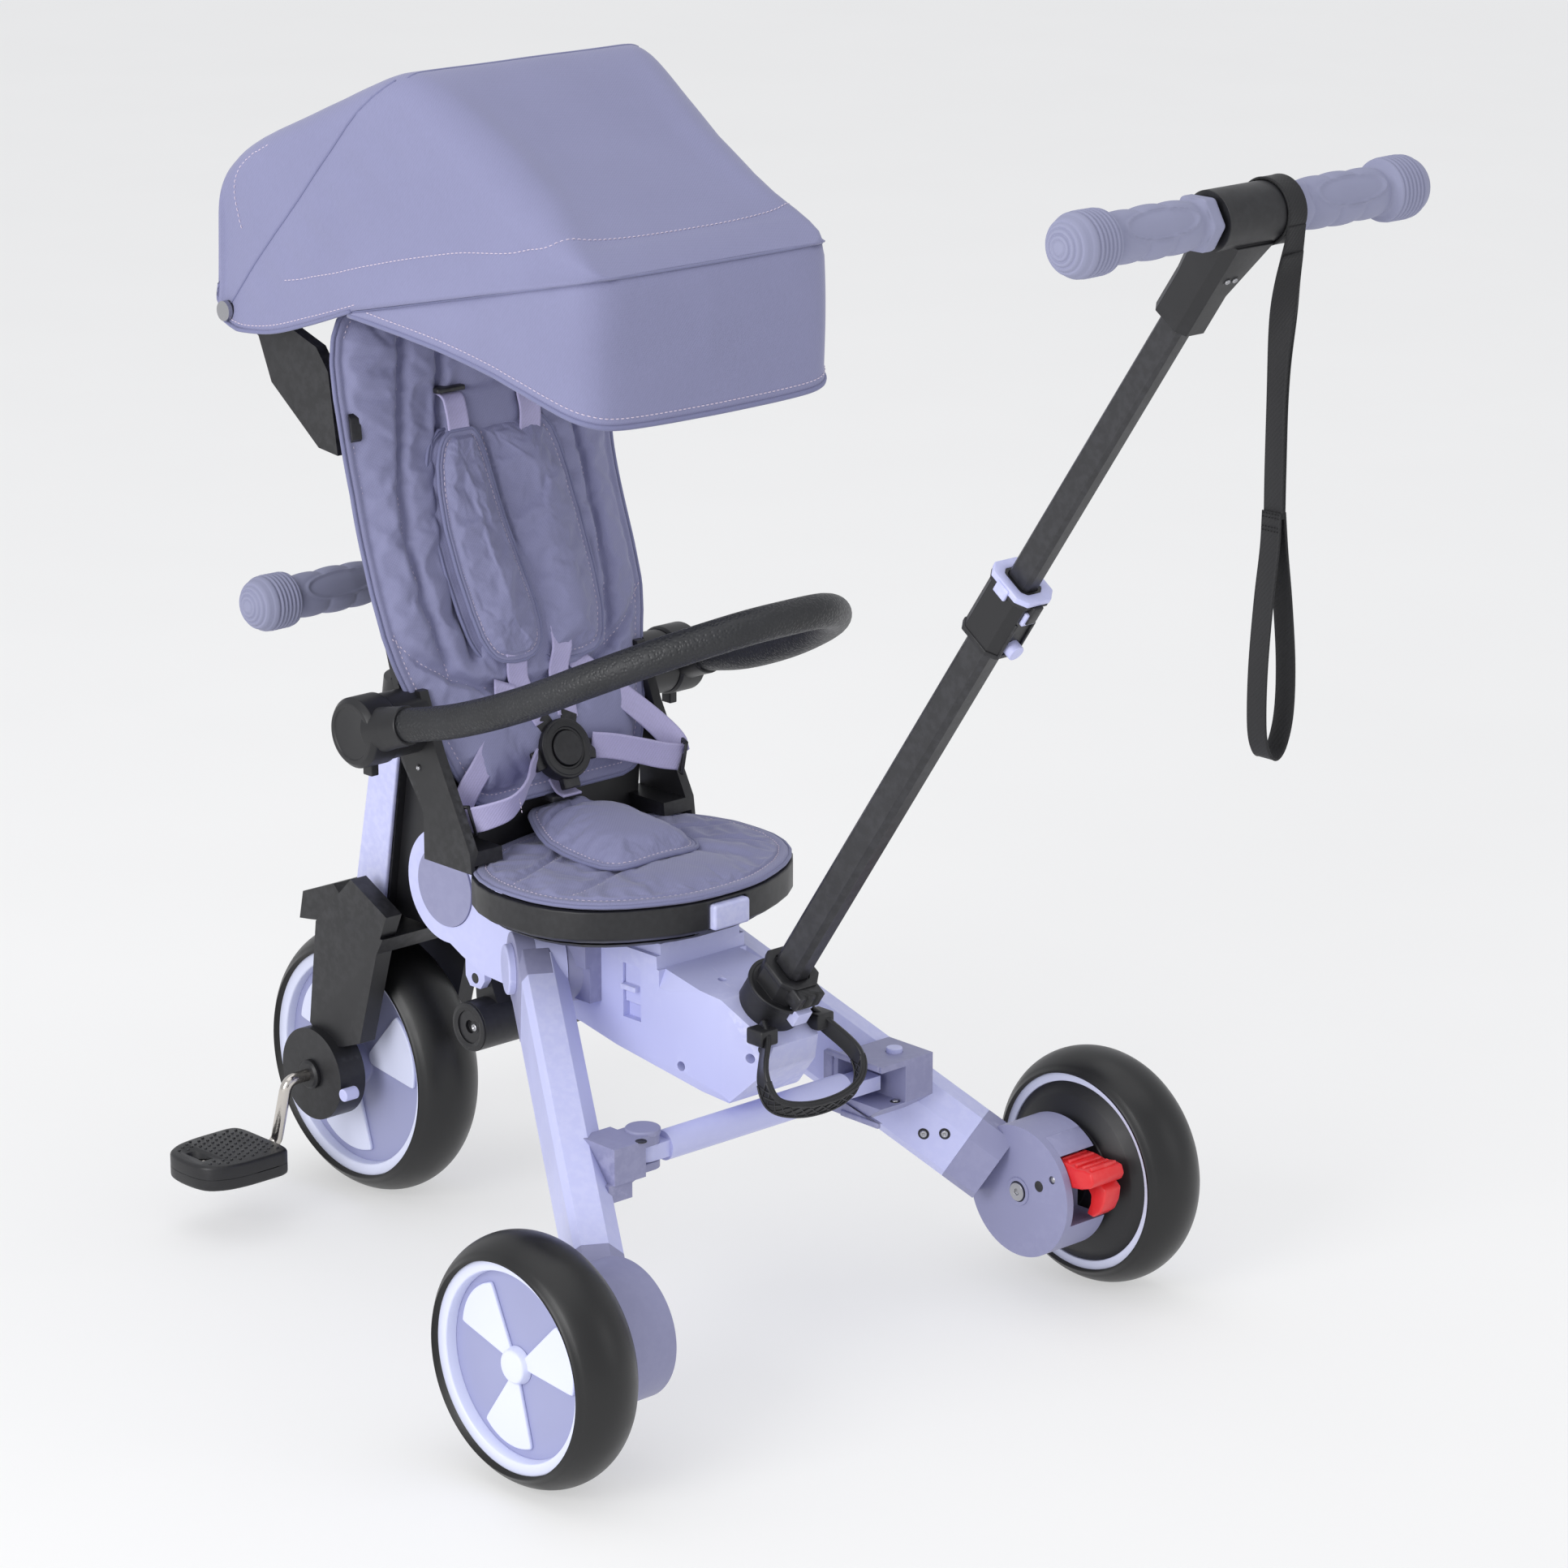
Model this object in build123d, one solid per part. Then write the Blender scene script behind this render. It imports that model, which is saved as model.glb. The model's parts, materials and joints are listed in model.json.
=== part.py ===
from build123d import *
import math
import os

# Children's tricycle with a parent push bar, a swivelling padded seat, a sun canopy and folding legs.
# Construction frame, in mm: x forward to the front wheel, y to the rider's left, z up.
# While the pieces are made, x = 0 is the rear axle and z = 0 the floor.  Every piece is shifted
# by ORIGIN_SHIFT on export, so the finished origin is the middle of the footprint box, on the floor.
ORIGIN_SHIFT = -117.05

# ---- driving dimensions (mm, degrees) ----
REAR_R, REAR_Y, REAR_SEC = 90.0, 275.1, 34.0        # rear wheel radius, track half-width, tyre section radius
REAR_RING = 75.7
FRONT_R, FRONT_X, FRONT_SEC = 106.4, 518.2, 35.4    # front wheel radius, axle position, tyre section radius
FRONT_RING = 90.3
FOLD_X, FOLD_Z, FOLD_LOBE = 369.0, 290.0, 44.0      # big folding joint
CHEEK_IN, CHEEK_OUT = 22.3, 46.0
STEER_TOP_X, STEER_TOP_Z = 447.0, 510.0             # handlebar centre; the steering axis runs from here to the wheel centre
LEG_PLAN, LEG_SLOPE = 30.2, 32.7                    # splay in plan and fall of each leg
HINGE = (240.0, 66.1, 262.7)                        # leg hinge centre (left)
LEG_END = 268.0                                     # leg beam length from the hinge
KNUCKLE_R, LEG_HALF = 27.0, 18.0
SEAT_X, SEAT_Z = 205.0, 303.0                       # swivel axis and underside of the seat base
PUSH_BASE = (61.6, 0.0, 265.0)                      # push bar axis point at the body
PUSH_LEAN = 34.6                                    # push bar lean back from vertical
BAR_HUB_X, BAR_HUB_Z = 331.0, 438.0                 # bumper bar hub axis
CANOPY_X, CANOPY_Z = 494.0, 719.0                   # canopy pivot axis
RUN = 0.05                                          # radial running clearance
GAP = 0.4                                           # gap between pieces that move past each other

os.makedirs("parts", exist_ok=True)
NODES = {}


# ---- helpers ----
def block(x0, x1, y0, y1, z0, z1):
    return Pos((x0 + x1) / 2, (y0 + y1) / 2, (z0 + z1) / 2) * Box(x1 - x0, y1 - y0, z1 - z0)


def rod(p, d, r, h):
    """Solid cylinder from point p, along d, radius r, length h."""
    return Plane(origin=p, z_dir=d) * Cylinder(r, h, align=(Align.CENTER, Align.CENTER, Align.MIN))


def yrod(x, z, y0, y1, r):
    return rod((x, y0, z), (0, 1, 0), r, y1 - y0)


def side(pts, y0, y1):
    """Polygon of (x, z) points, extruded from y0 to y1."""
    pl = Plane(origin=(0, y1, 0), x_dir=(1, 0, 0), z_dir=(0, -1, 0))
    return extrude(pl * make_face(Polyline(*pts, close=True)), amount=y1 - y0)


def front(pts, x0, x1):
    """Polygon of (y, z) points, extruded from x0 to x1."""
    pl = Plane(origin=(x0, 0, 0), x_dir=(0, 1, 0), z_dir=(1, 0, 0))
    return extrude(pl * make_face(Polyline(*pts, close=True)), amount=x1 - x0)


def top(pts, z0, z1):
    """Polygon of (x, y) points, extruded from z0 to z1."""
    pl = Plane(origin=(0, 0, z0), x_dir=(1, 0, 0), z_dir=(0, 0, 1))
    return extrude(pl * make_face(Polyline(*pts, close=True)), amount=z1 - z0)


def turned(pts, x, z, s=1):
    """Profile of (radius, y) points turned about the line through (x, z) along Y; s = -1 mirrors to the right side."""
    pl = Plane(origin=(x, 0, z), x_dir=(1, 0, 0), z_dir=(0, 0, 1))
    face = pl * make_face(Polyline(*[(r, s * y) for r, y in pts], close=True))
    return revolve(face, axis=Axis((x, 0, z), (0, 1, 0)), revolution_arc=360)


def mirror_y(shape):
    return mirror(shape, about=Plane.XZ)


def unit(v):
    n = math.sqrt(sum(c * c for c in v))
    return tuple(c / n for c in v)


def along(p, d, t):
    return tuple(p[i] + d[i] * t for i in range(3))


def put(name, shape):
    NODES[name] = shape


def minus(shape, *others):
    for o in others:
        shape = shape - o
    return shape


# =====================================================================
# Main body: two moulded halves with the seam on y = 0
# =====================================================================
body_profile = [(36, 243), (75, 272), (136, 281), (137, 299), (272, 299), (323, 299), (369, 331),
                (369, 248), (352, 240), (329, 231), (218, 221), (98, 197), (70, 195), (41, 224)]
body_plan = [(20, -13), (20, 13), (34, 21), (75, 36), (120, 42), (300, 44), (330, CHEEK_OUT), (416, CHEEK_OUT),
             (416, -CHEEK_OUT), (330, -CHEEK_OUT), (300, -44), (120, -42), (75, -36), (34, -21)]
outer = side(body_profile, -60, 60) + yrod(FOLD_X, FOLD_Z, -60, 60, FOLD_LOBE)
outer = outer & top(body_plan, 150, 360)
# raised seat block is narrower than the body
outer = outer - block(130, 330, 38, 60, 290.5, 340) - block(130, 330, -60, -38, 290.5, 340)
# long chamfers along the top and bottom edges of the sides
for s in (1, -1):
    outer = outer - front([(s * 60, 300), (s * 60, 262), (s * 42, 268), (s * 33, 286), (s * 33, 300)], 10, 134)
    outer = outer - front([(s * 60, 180), (s * 60, 216), (s * 43, 214), (s * 30, 190), (s * 30, 180)], 60, 200)
body_skin = outer
cavity = side([(60, 243), (84, 264), (140, 272), (300, 289), (300, 236), (218, 226), (100, 202), (80, 201)], -33, 33)
cavity = cavity & top([(62, -18), (62, 18), (80, 28), (110, 33), (215, 33), (222, 26), (262, 26), (268, 33), (300, 33),
                       (300, -33), (268, -33), (262, -26), (222, -26), (215, -33), (110, -33), (80, -28)], 150, 360)
body = outer - cavity
# spindle boss, and the open slot for the folding knuckle
body = body + (rod((SEAT_X, 0, 226), (0, 0, 1), 21, 70) & outer)
body = body - rod((SEAT_X, 0, 240), (0, 0, 1), 12.0 + RUN, 70)
body = body - block(303, 440, -CHEEK_IN, CHEEK_IN, 200, 360)
# leg knuckle pockets
PSI, SIG = math.radians(LEG_PLAN), math.radians(LEG_SLOPE)
U = (-math.cos(PSI) * math.cos(SIG), math.sin(PSI) * math.cos(SIG), -math.sin(SIG))
N = (math.sin(PSI), math.cos(PSI), 0.0)
pocket = rod(along(HINGE, N, -LEG_HALF - 0.5), N, KNUCKLE_R + 1.5, 60)
body = body - pocket - mirror_y(pocket)
# push bar well: an open round seat through the top of the tail
LEAN = math.radians(PUSH_LEAN)
PD = (-math.sin(LEAN), 0.0, math.cos(LEAN))
WELL_R = 23.6
well = rod(along(PUSH_BASE, PD, -44), PD, WELL_R + RUN, 120)
tail_block = (rod(along(PUSH_BASE, PD, -47), PD, WELL_R + 5, 60) & outer)
body = body + tail_block
body = body - well
# slider recess on the left side, and the small round hole on the top
body = body - block(153.5, 172.5, 36.4, 60, 237.0, 278.0)
body = body - rod((100, 12, 262), (0, 0, 1), 3.2, 40)
# lugs that carry the footrest
for s in (1, -1):
    lug = side([(329, 250), (329, 224), (334, 217), (346, 217), (351, 224), (351, 262)], 36.4, 43.0)
    if s < 0:
        lug = mirror_y(lug)
    body = body + lug
body = body - yrod(340, 224, -60, 60, 4.0 + RUN)
body = body - yrod(FOLD_X, FOLD_Z, -60, 60, 8.0)
# recessed seats for the round joint caps
for s in (1, -1):
    cap = yrod(FOLD_X, FOLD_Z, CHEEK_OUT - 2.0, CHEEK_OUT + 5, 31.4)
    body = body - (cap if s > 0 else mirror_y(cap))

SCREWS = [(53, 232), (112, 214), (262, 243), (296, 262)]
screws = None
for x, z in SCREWS:
    w = 21.0 if x < 60 else (34.0 if x < 150 else 41.0)
    one = yrod(x, z, -w + 6, w - 2.2, 1.9) + yrod(x, z, w - 2.2, w - 0.4, 3.6)
    one = one - yrod(x, z, w - 1.4, w + 1, 1.4)
    screws = one if screws is None else screws + one
    body = body - yrod(x, z, -w + 6, w - 2.2, 1.9) - yrod(x, z, w - 2.2, 60, 3.6)
left_half = body & block(0, 450, 0, 80, 150, 360)
right_half = body & block(0, 450, -80, 0, 150, 360)

# hinge pins: folding axle, two leg pins
fold_axle = yrod(FOLD_X, FOLD_Z, -43.5, 43.5, 8.0)
leg_pin = rod(along(HINGE, N, -30), N, 6.0, 30 + LEG_HALF + 0.4)
pins = fold_axle + leg_pin + mirror_y(leg_pin)

# grey brackets that carry the leg pins, wrapped on the body's sides
cheek = rod(along(HINGE, N, -LEG_HALF - 12), N, KNUCKLE_R - 1, 11.5)
rib = side([(196, 243), (196, 288), (206, 297.5), (252, 297.5), (252, 286), (226, 262), (226, 243)], 38, 54)
web = side([(196, 270), (196, 288), (206, 297.5), (225, 297.5), (225, 270)], 54, 58)
bracket = cheek + rib + web
bracket = bracket - rod(along(HINGE, N, -LEG_HALF - 0.5), N, KNUCKLE_R + 1.5, 60)
bracket = bracket - leg_pin - body_skin
leg_sweep_clear = None
brackets = bracket + mirror_y(bracket)
body_cut = leg_pin + mirror_y(leg_pin)
left_half = left_half - body_cut
right_half = right_half - body_cut

# round caps: folding joint and leg hinges
caps = None
for s in (1, -1):
    c = yrod(FOLD_X, FOLD_Z, 43.6, CHEEK_OUT + 1.4, 31.0)
    k = rod(along(HINGE, N, LEG_HALF + 0.5), N, 18.5, 5.5)
    k = k.fillet(1.5, k.edges().filter_by(GeomType.CIRCLE).sort_by(lambda e: Vector(*N).dot(e.center()))[-1:])
    both = c + k
    both = both if s > 0 else mirror_y(both)
    caps = both if caps is None else caps + both
left_half = left_half - caps
right_half = right_half - caps
pins = pins - caps
put("body_shell_left", left_half - pins)
put("body_shell_right", right_half - pins)
put("joint_caps", caps)
put("leg_brackets", brackets)
put("pins_and_screws", pins + screws)

# lock slider on the left side
slider = block(154.0, 172.0, 36.8, 40.6, 248.6, 277.4) + block(156, 172, 40.6, 46, 259, 263)
put("fold_slider", slider)

# pull strap with a rubber pad, hanging behind the tail
st_pts = [(47, 23.5, 258), (35, 30, 248), (20, 47, 231), (10, 44, 213), (4, 20, 205), (3, -12, 205), (8, -36, 212),
          (18, -42, 228), (34, -30, 247), (47, -23.5, 256)]
def strip(pts, wide, thick, across):
    """Flat strap through the points: overlapping plates whose width lies along 'across'."""
    out = None
    for a, b in zip(pts[:-1], pts[1:]):
        d = tuple(b[i] - a[i] for i in range(3))
        L = math.sqrt(sum(c * c for c in d))
        ud = unit(d)
        ac = Vector(*across) - Vector(*ud) * Vector(*across).dot(Vector(*ud))
        pl = Plane(origin=along(a, ud, -thick * 0.3), x_dir=tuple(ac.normalized()), z_dir=ud)
        piece = pl * Box(wide, thick, L + thick * 0.6, align=(Align.CENTER, Align.CENTER, Align.MIN))
        out = piece if out is None else out + piece
    return out
strap = strip(st_pts, 14, 3.0, (-0.55, 0, 0.83))
strap = strap - body_skin
put("pull_strap", strap)

# control cable under the body, held at both ends
cable_path = FilletPolyline((268, 8, 229.5), (262, 8, 219), (240, 8, 207), (215, 8, 203), (190, 8, 206), (172, 8, 214.5), radius=14)
cable = sweep(Plane(origin=cable_path @ 0, z_dir=cable_path % 0) * Circle(1.5), path=cable_path)
cable = cable - body_skin
put("brake_cable", cable)

# =====================================================================
# Footrest: two arms and a round lateral tube, hinged on the body's lugs
# =====================================================================
tube = yrod(332.4, 190.7, -55, 55, 19.0) - yrod(332.4, 190.7, 52, 56, 5) - yrod(332.4, 190.7, -56, -52, 5)
arms = None
for s in (1, -1):
    a = side([(332, 224), (333, 230), (340, 232), (347, 230), (349, 224), (347, 196), (318, 192), (322, 206)], 24.5, 35.9)
    a = a + yrod(340, 224, 24.5, 42.8, 4.0)
    a = a if s > 0 else mirror_y(a)
    arms = a if arms is None else arms + a
put("footrest", tube + arms)

# =====================================================================
# Legs, wheel housings, rear axles, rear wheels
# =====================================================================
def leg_section(L):
    """Six-sided section of the leg beam at distance L from the hinge, in the (outward, up) plane."""
    V = (N[1] * U[2] - N[2] * U[1], N[2] * U[0] - N[0] * U[2], N[0] * U[1] - N[1] * U[0])
    up = V if V[2] > 0 else tuple(-c for c in V)
    pl = Plane(origin=along(HINGE, U, L), x_dir=N, z_dir=U)
    # the plane's y axis is U x N
    sign = 1 if Vector(*pl.y_dir).dot(Vector(*up)) > 0 else -1
    pts = [(18, -24), (18, 22), (13.5, 27), (-6, 27), (-18, 13), (-18, -20), (-12, -27), (14, -27)]
    return pl * make_face(Polyline(*[(a, sign * b) for a, b in pts], close=True))


def leg_prism(L0, L1):
    return extrude(leg_section(L0), amount=L1 - L0, dir=U)


knuckle = rod(along(HINGE, N, -LEG_HALF), N, KNUCKLE_R, 2 * LEG_HALF)
leg = leg_prism(8, LEG_END) + knuckle
leg = leg - rod(along(HINGE, N, -40), N, 6.0 + RUN, 90)
leg_in = leg_prism(34, LEG_END + 5)
hollow = extrude(offset(leg_section(34), amount=-3.0), amount=LEG_END + 5 - 34, dir=U)
leg = leg - hollow
housing = leg_prism(LEG_END, 296) + yrod(0, REAR_R, 190, 232, 50.0)
housing = housing - (leg_prism(0, LEG_END))
drum_edge = housing
housing = housing - yrod(0, REAR_R, 180, 240, 4.0)
AXLE_Y0, AXLE_Y1 = 187.6, 290.0
axle = yrod(0, REAR_R, 190, AXLE_Y1, 4.0) + yrod(0, REAR_R, AXLE_Y0, 190, 7.0)
axle = axle - (Plane(origin=(0, AXLE_Y0 - 1, REAR_R), z_dir=(0, 1, 0)) * extrude(RegularPolygon(2.6, 6), amount=2.6))
put("leg_beam_left", leg)
put("wheel_housing_left", housing)
put("rear_axle_left", axle)

# brake recess only on the right housing
brake_cut = block(-72, -20, -245, -196.5, 74, 142)
housing_r = mirror_y(housing) - brake_cut
housing_r = housing_r - yrod(-34, 108, -198, -188, 3.0 + RUN)
put("leg_beam_right", mirror_y(leg))
put("wheel_housing_right", housing_r)
put("rear_axle_right", mirror_y(axle))
brake = side([(-66, 107), (-63, 116), (-27, 121), (-25, 104), (-38, 102), (-46, 84), (-58, 80), (-62, 98)], -231, -197.2)
brake = brake - block(-80, -39, -213, -190, 70, 105)
brake = brake + yrod(-34, 108, -231, -190.5, 3.0)
put("brake_pedal", brake)


def fans(yc, y0, y1, x, z, r0, r1, start):
    """Three raised fan-shaped spokes between y0 and y1."""
    out = None
    for i in range(3):
        a = math.radians(start + 120 * i)
        half0, half1 = math.radians(14), math.radians(25)
        pts = [(x + r0 * math.cos(a - half0), z + r0 * math.sin(a - half0)),
               (x + r1 * math.cos(a - half1), z + r1 * math.sin(a - half1)),
               (x + r1 * 1.06 * math.cos(a), z + r1 * 1.06 * math.sin(a)),
               (x + r1 * math.cos(a + half1), z + r1 * math.sin(a + half1)),
               (x + r0 * math.cos(a + half0), z + r0 * math.sin(a + half0))]
        f = side(pts, y0, y1)
        out = f if out is None else out + f
    return out


rear_tyre_profile = []
for i in range(25):
    t = math.radians(-90 + 180 * i / 24)
    rear_tyre_profile.append((56 + REAR_SEC * math.cos(t), REAR_Y + REAR_SEC * math.sin(t)))
rear_tyre_profile = [p for p in rear_tyre_profile if p[0] > REAR_RING + 0.2]
half = math.sqrt(REAR_SEC ** 2 - (REAR_RING - 56) ** 2)
rear_tyre_profile = [(REAR_RING, REAR_Y - half)] + rear_tyre_profile + [(REAR_RING, REAR_Y + half)]
rim_profile = [(0, 296), (12, 296), (14, 293), (14, 288), (66, 288), (66.5, 297.6), (REAR_RING, 297.6), (REAR_RING, 252),
               (72, 252), (72, 284.5), (14, 284.5), (14, 241), (4.0 + RUN, 241), (4.0 + RUN, 291), (0, 291)]
dome_profile = [(71.6, 252), (60, 246), (45, 240.5), (30, 236.8), (14, 235), (4.4, 234.6), (4.4, 237.6), (14, 238), (30, 239.8),
                (45, 243.5), (60, 249.2), (71.6, 255.4)]
for s, tag in ((1, "left"), (-1, "right")):
    put("tyre_rear_" + tag, turned(rear_tyre_profile, 0, REAR_R, s))
    rim = turned(rim_profile, 0, REAR_R, s)
    f = fans(0, 287.8, 291.6, 0, REAR_R, 13, 58, 40)
    rim = rim + (f if s > 0 else mirror_y(f))
    put("rim_rear_" + tag, rim + turned(dome_profile, 0, REAR_R, s))

# ---- cross bar, its pivot bracket (left) and its latch bracket (right) ----
BAR_X, BAR_Z = 78.9, 175.0
PIV_X, PIV_Y = 82.0, 104.0
leg_solid = leg_prism(0, LEG_END + 10)
br = block(64, 102, 117, 146, 163, 190) + block(PIV_X - 12, PIV_X + 12, PIV_Y, 117.2, 163, 190) + rod((PIV_X, PIV_Y, 163), (0, 0, 1), 12, 27)
br = br + block(66, 100, 128, 150, 150, 163.2)
br = br - block(40, 120, 60, 117, 168.6, 181.4)
br = br + rod((PIV_X, PIV_Y, 163), (0, 0, 1), 4.0, 27)
br = br - leg_solid
put("crossbar_bracket", br)
bar = rod((PIV_X, PIV_Y, 169), (0, 0, 1), 11, 12) + block(PIV_X - 11, PIV_X + 11, 84, PIV_Y, 169, 181)
bar = bar + yrod(BAR_X, BAR_Z, -86, 88, 11.0) + block(68.5, 89, -114.8, -80, 169.6, 180.4)
bar = bar - rod((PIV_X, PIV_Y, 160), (0, 0, 1), 4.0 + RUN, 40)
put("crossbar", bar)
lat = block(50, 110, -150, -98, 148, 195)
lat = lat - block(40, 96.0, -122.5, -80, 162.6, 190.4)
lat = lat - side([(110.1, 195.1), (96, 195.1), (110.1, 176)], -160, -80) - side([(49.9, 147.9), (72, 147.9), (49.9, 163)], -160, -80)
lat = lat - rod((70, -130, 182), (0, 0, 1), 6.3, 20)
lat = lat - mirror_y(leg_solid)
put("latch_bracket", lat)
put("latch_button", rod((70, -130, 186), (0, 0, 1), 6.0, 12.5))

# =====================================================================
# Front frame: folding knuckle, mast and steering head tube
# =====================================================================
SD = unit((STEER_TOP_X - FRONT_X, 0.0, STEER_TOP_Z - FRONT_R))


def steer_at(z):
    t = (z - FRONT_R) / SD[2]
    return (FRONT_X + SD[0] * t, 0.0, z)


ff = yrod(FOLD_X, FOLD_Z, -21.9, 21.9, 30.0)
ff = ff + side([(369, 319), (400, 332), (432, 346), (446, 372), (458, 425), (468, 425), (500, 262), (497, 240), (470, 238),
                (402, 238), (385, 262)], -15, 15)
ff = ff + side([(504, 250), (484, 360), (448, 372), (469, 241), (497, 239)], -22, 22)
ff = ff + rod(steer_at(240), SD, 21.0, 186)
ff = ff - yrod(FOLD_X, FOLD_Z, -40, 40, 8.0 + RUN) - rod(steer_at(200), SD, 12.0 + RUN, 300)
ff = ff - block(360, 520, -40, 40, 200, 238)
put("front_frame", ff)
trim = side([(503, 258), (483, 355), (449, 368.5), (470, 247)], 22, 26.0)
put("front_frame_trim", trim + mirror_y(trim))

# ---- fork with crown, blades, hub drums and mudguard block ----
blade = [(473.6, 272.4), (518.4, 228.7), (529, 144), (512, 130), (488.4, 134), (467.3, 142), (451, 196), (442, 227), (431, 251.8)]
fork = None
for s in (1, -1):
    b = side(blade, 39, 54) + yrod(FRONT_X, FRONT_R, 38, 62, 36.4)
    b = b if s > 0 else mirror_y(b)
    fork = b if fork is None else fork + b
fork = fork + side([(505, 232), (518.4, 228.7), (516, 218.5), (444, 219.5), (436, 233)], -54, 54)
fork = fork + side([(512, 219), (512, 234), (530, 250), (569, 235), (574, 212), (560, 214), (540, 217.5)], -27, 27)
fork = fork - rod(steer_at(200), SD, 12.0, 300)
fork = fork - yrod(FRONT_X, FRONT_R, -80, 80, 6.0 + RUN)
fork = fork - rod((474.5, 49.5, 101.0), (0, 1, 0), 5.3, 20)
put("fork", fork)

bar_c = (STEER_TOP_X, 0.0, STEER_TOP_Z)
column = rod(steer_at(219.5), SD, 12.0, (STEER_TOP_Z - 219.5) / SD[2]) + yrod(STEER_TOP_X, STEER_TOP_Z, -142, 142, 10.5)
column = column + rod(steer_at(478), SD, 16.0, 26) + yrod(STEER_TOP_X, STEER_TOP_Z, -21, 21, 16)
put("steering_column", column)


def grip(x, z, y_in, y_ball, s):
    """Ball-ended grip on a lateral tube: hexagonal collar, waisted body, ball end."""
    prof = [(10.5, y_in), (17.5, y_in), (18.2, y_in + 9), (16.2, y_in + 13), (16.8, y_in + 30), (15.4, y_in + 48), (16.4, y_in + 66),
            (15.2, y_ball - 22), (16.5, y_ball - 17), (20.8, y_ball - 8), (20.8, y_ball + 7), (18.0, y_ball + 14), (11.0, y_ball + 19.5),
            (0, y_ball + 21), (0, y_ball - 0.5), (10.5, y_ball - 0.5)]
    return turned(prof, x, z, s)


g = grip(STEER_TOP_X, STEER_TOP_Z, 36, 142.7, 1) + grip(STEER_TOP_X, STEER_TOP_Z, 36, 142.7, -1)
put("handlebar_grips", g)
put("clutch_button", rod((474.5, 53.5, 101.0), (0, 1, 0), 5.0, 12.5))

# ---- front wheel ----
ft = []
for i in range(25):
    t = math.radians(-90 + 180 * i / 24)
    ft.append((71 + FRONT_SEC * math.cos(t), FRONT_SEC * math.sin(t)))
ft = [p for p in ft if p[0] > FRONT_RING + 0.2]
half = math.sqrt(FRONT_SEC ** 2 - (FRONT_RING - 71) ** 2)
put("tyre_front", turned([(FRONT_RING, -half)] + ft + [(FRONT_RING, half)], FRONT_X, FRONT_R))
rp = [(6.0 + RUN, 0.05), (6.0 + RUN, 33), (16, 33), (17, 30), (17, 16), (80, 16), (81, 24.7), (FRONT_RING, 24.7), (FRONT_RING, 0.05),
      (84, 0.05), (84, 12), (20, 12), (20, 0.05)]
rim_half = turned(rp, FRONT_X, FRONT_R)
ff_fans = fans(0, 15.8, 19.6, FRONT_X, FRONT_R, 16, 70, 40)
rim_half = rim_half + ff_fans
put("rim_front", rim_half + mirror_y(rim_half))

# ---- crank and pedals ----
PED_X, PED_Z = 527.0, 53.0
RP_X, RP_Z = 2 * FRONT_X - PED_X, 2 * FRONT_R - PED_Z
def crank_half(px, pz, s):
    path = FilletPolyline((FRONT_X, 0, FRONT_R), (FRONT_X, s * 86, FRONT_R), (px, s * 92, pz), (px, s * 178, pz), radius=9)
    return sweep(Plane(origin=path @ 0, z_dir=path % 0) * Circle(6.0), path=path)
crank = crank_half(PED_X, PED_Z, 1) + crank_half(RP_X, RP_Z, -1)
put("crank", crank)
ped_plan = [(-33, 106), (-24, 102), (24, 102), (33, 106), (36, 150), (30, 172), (20, 180), (-20, 180), (-30, 172), (-36, 150)]
ped = top([(PED_X + a, b) for a, b in ped_plan], PED_Z - 11, PED_Z + 11)
ped = ped - yrod(PED_X, PED_Z, 90, 178.5, 6.0 + RUN)
put("pedal_left", ped)
ped_r = top([(RP_X + a, -b) for a, b in ped_plan], RP_Z - 11, RP_Z + 11)
ped_r = ped_r - yrod(RP_X, RP_Z, -178.5, -90, 6.0 + RUN)
put("pedal_right", ped_r)

# =====================================================================
# Seat: swivelling base, pads, back shell, harness
# =====================================================================
SEAT_HALF = [(108, 20), (112, 40), (119, 58), (128, 76), (139, 91), (152, 103), (168, 112), (186, 117.5), (205, 119), (228, 118.5),
             (248, 113), (264, 105), (278, 93), (289, 74), (297, 54), (303, 30), (306, 14)]


def outline(grow):
    pts = []
    for x, y in SEAT_HALF:
        dx, dy = x - 207, y
        L = math.hypot(dx, dy)
        pts.append((x + grow * dx / L, y + grow * dy / L))
    return pts + [(x, -y) for x, y in reversed(pts)]


base = loft([Plane(origin=(0, 0, SEAT_Z)) * make_face(Polyline(*outline(-14), close=True)),
             Plane(origin=(0, 0, SEAT_Z + 10)) * make_face(Polyline(*outline(1.5), close=True))])
base = base + top(outline(1.5), SEAT_Z + 10, 334)
base = base + rod((SEAT_X, 0, 244), (0, 0, 1), 12.0, 60) + rod((SEAT_X, 0, 299.4), (0, 0, 1), 44, 5)
base = base - (top(outline(-4.5), 307, 340) - rod((SEAT_X, 0, 300), (0, 0, 1), 40, 60) - block(96, 121, -22, 22, 300, 340))
base = base - rod((SEAT_X, 0, 312), (0, 0, 1), 34, 30)
base = base - block(84, 115.5, -17.4, 17.4, 311.6, 331.4)
put("seat_base", base)
put("seat_button", block(101.5, 111.0, -17, 17, 312, 331))
pad = top(outline(-1.0), 334.0, 342.0)
put("seat_pad", pad)

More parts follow.
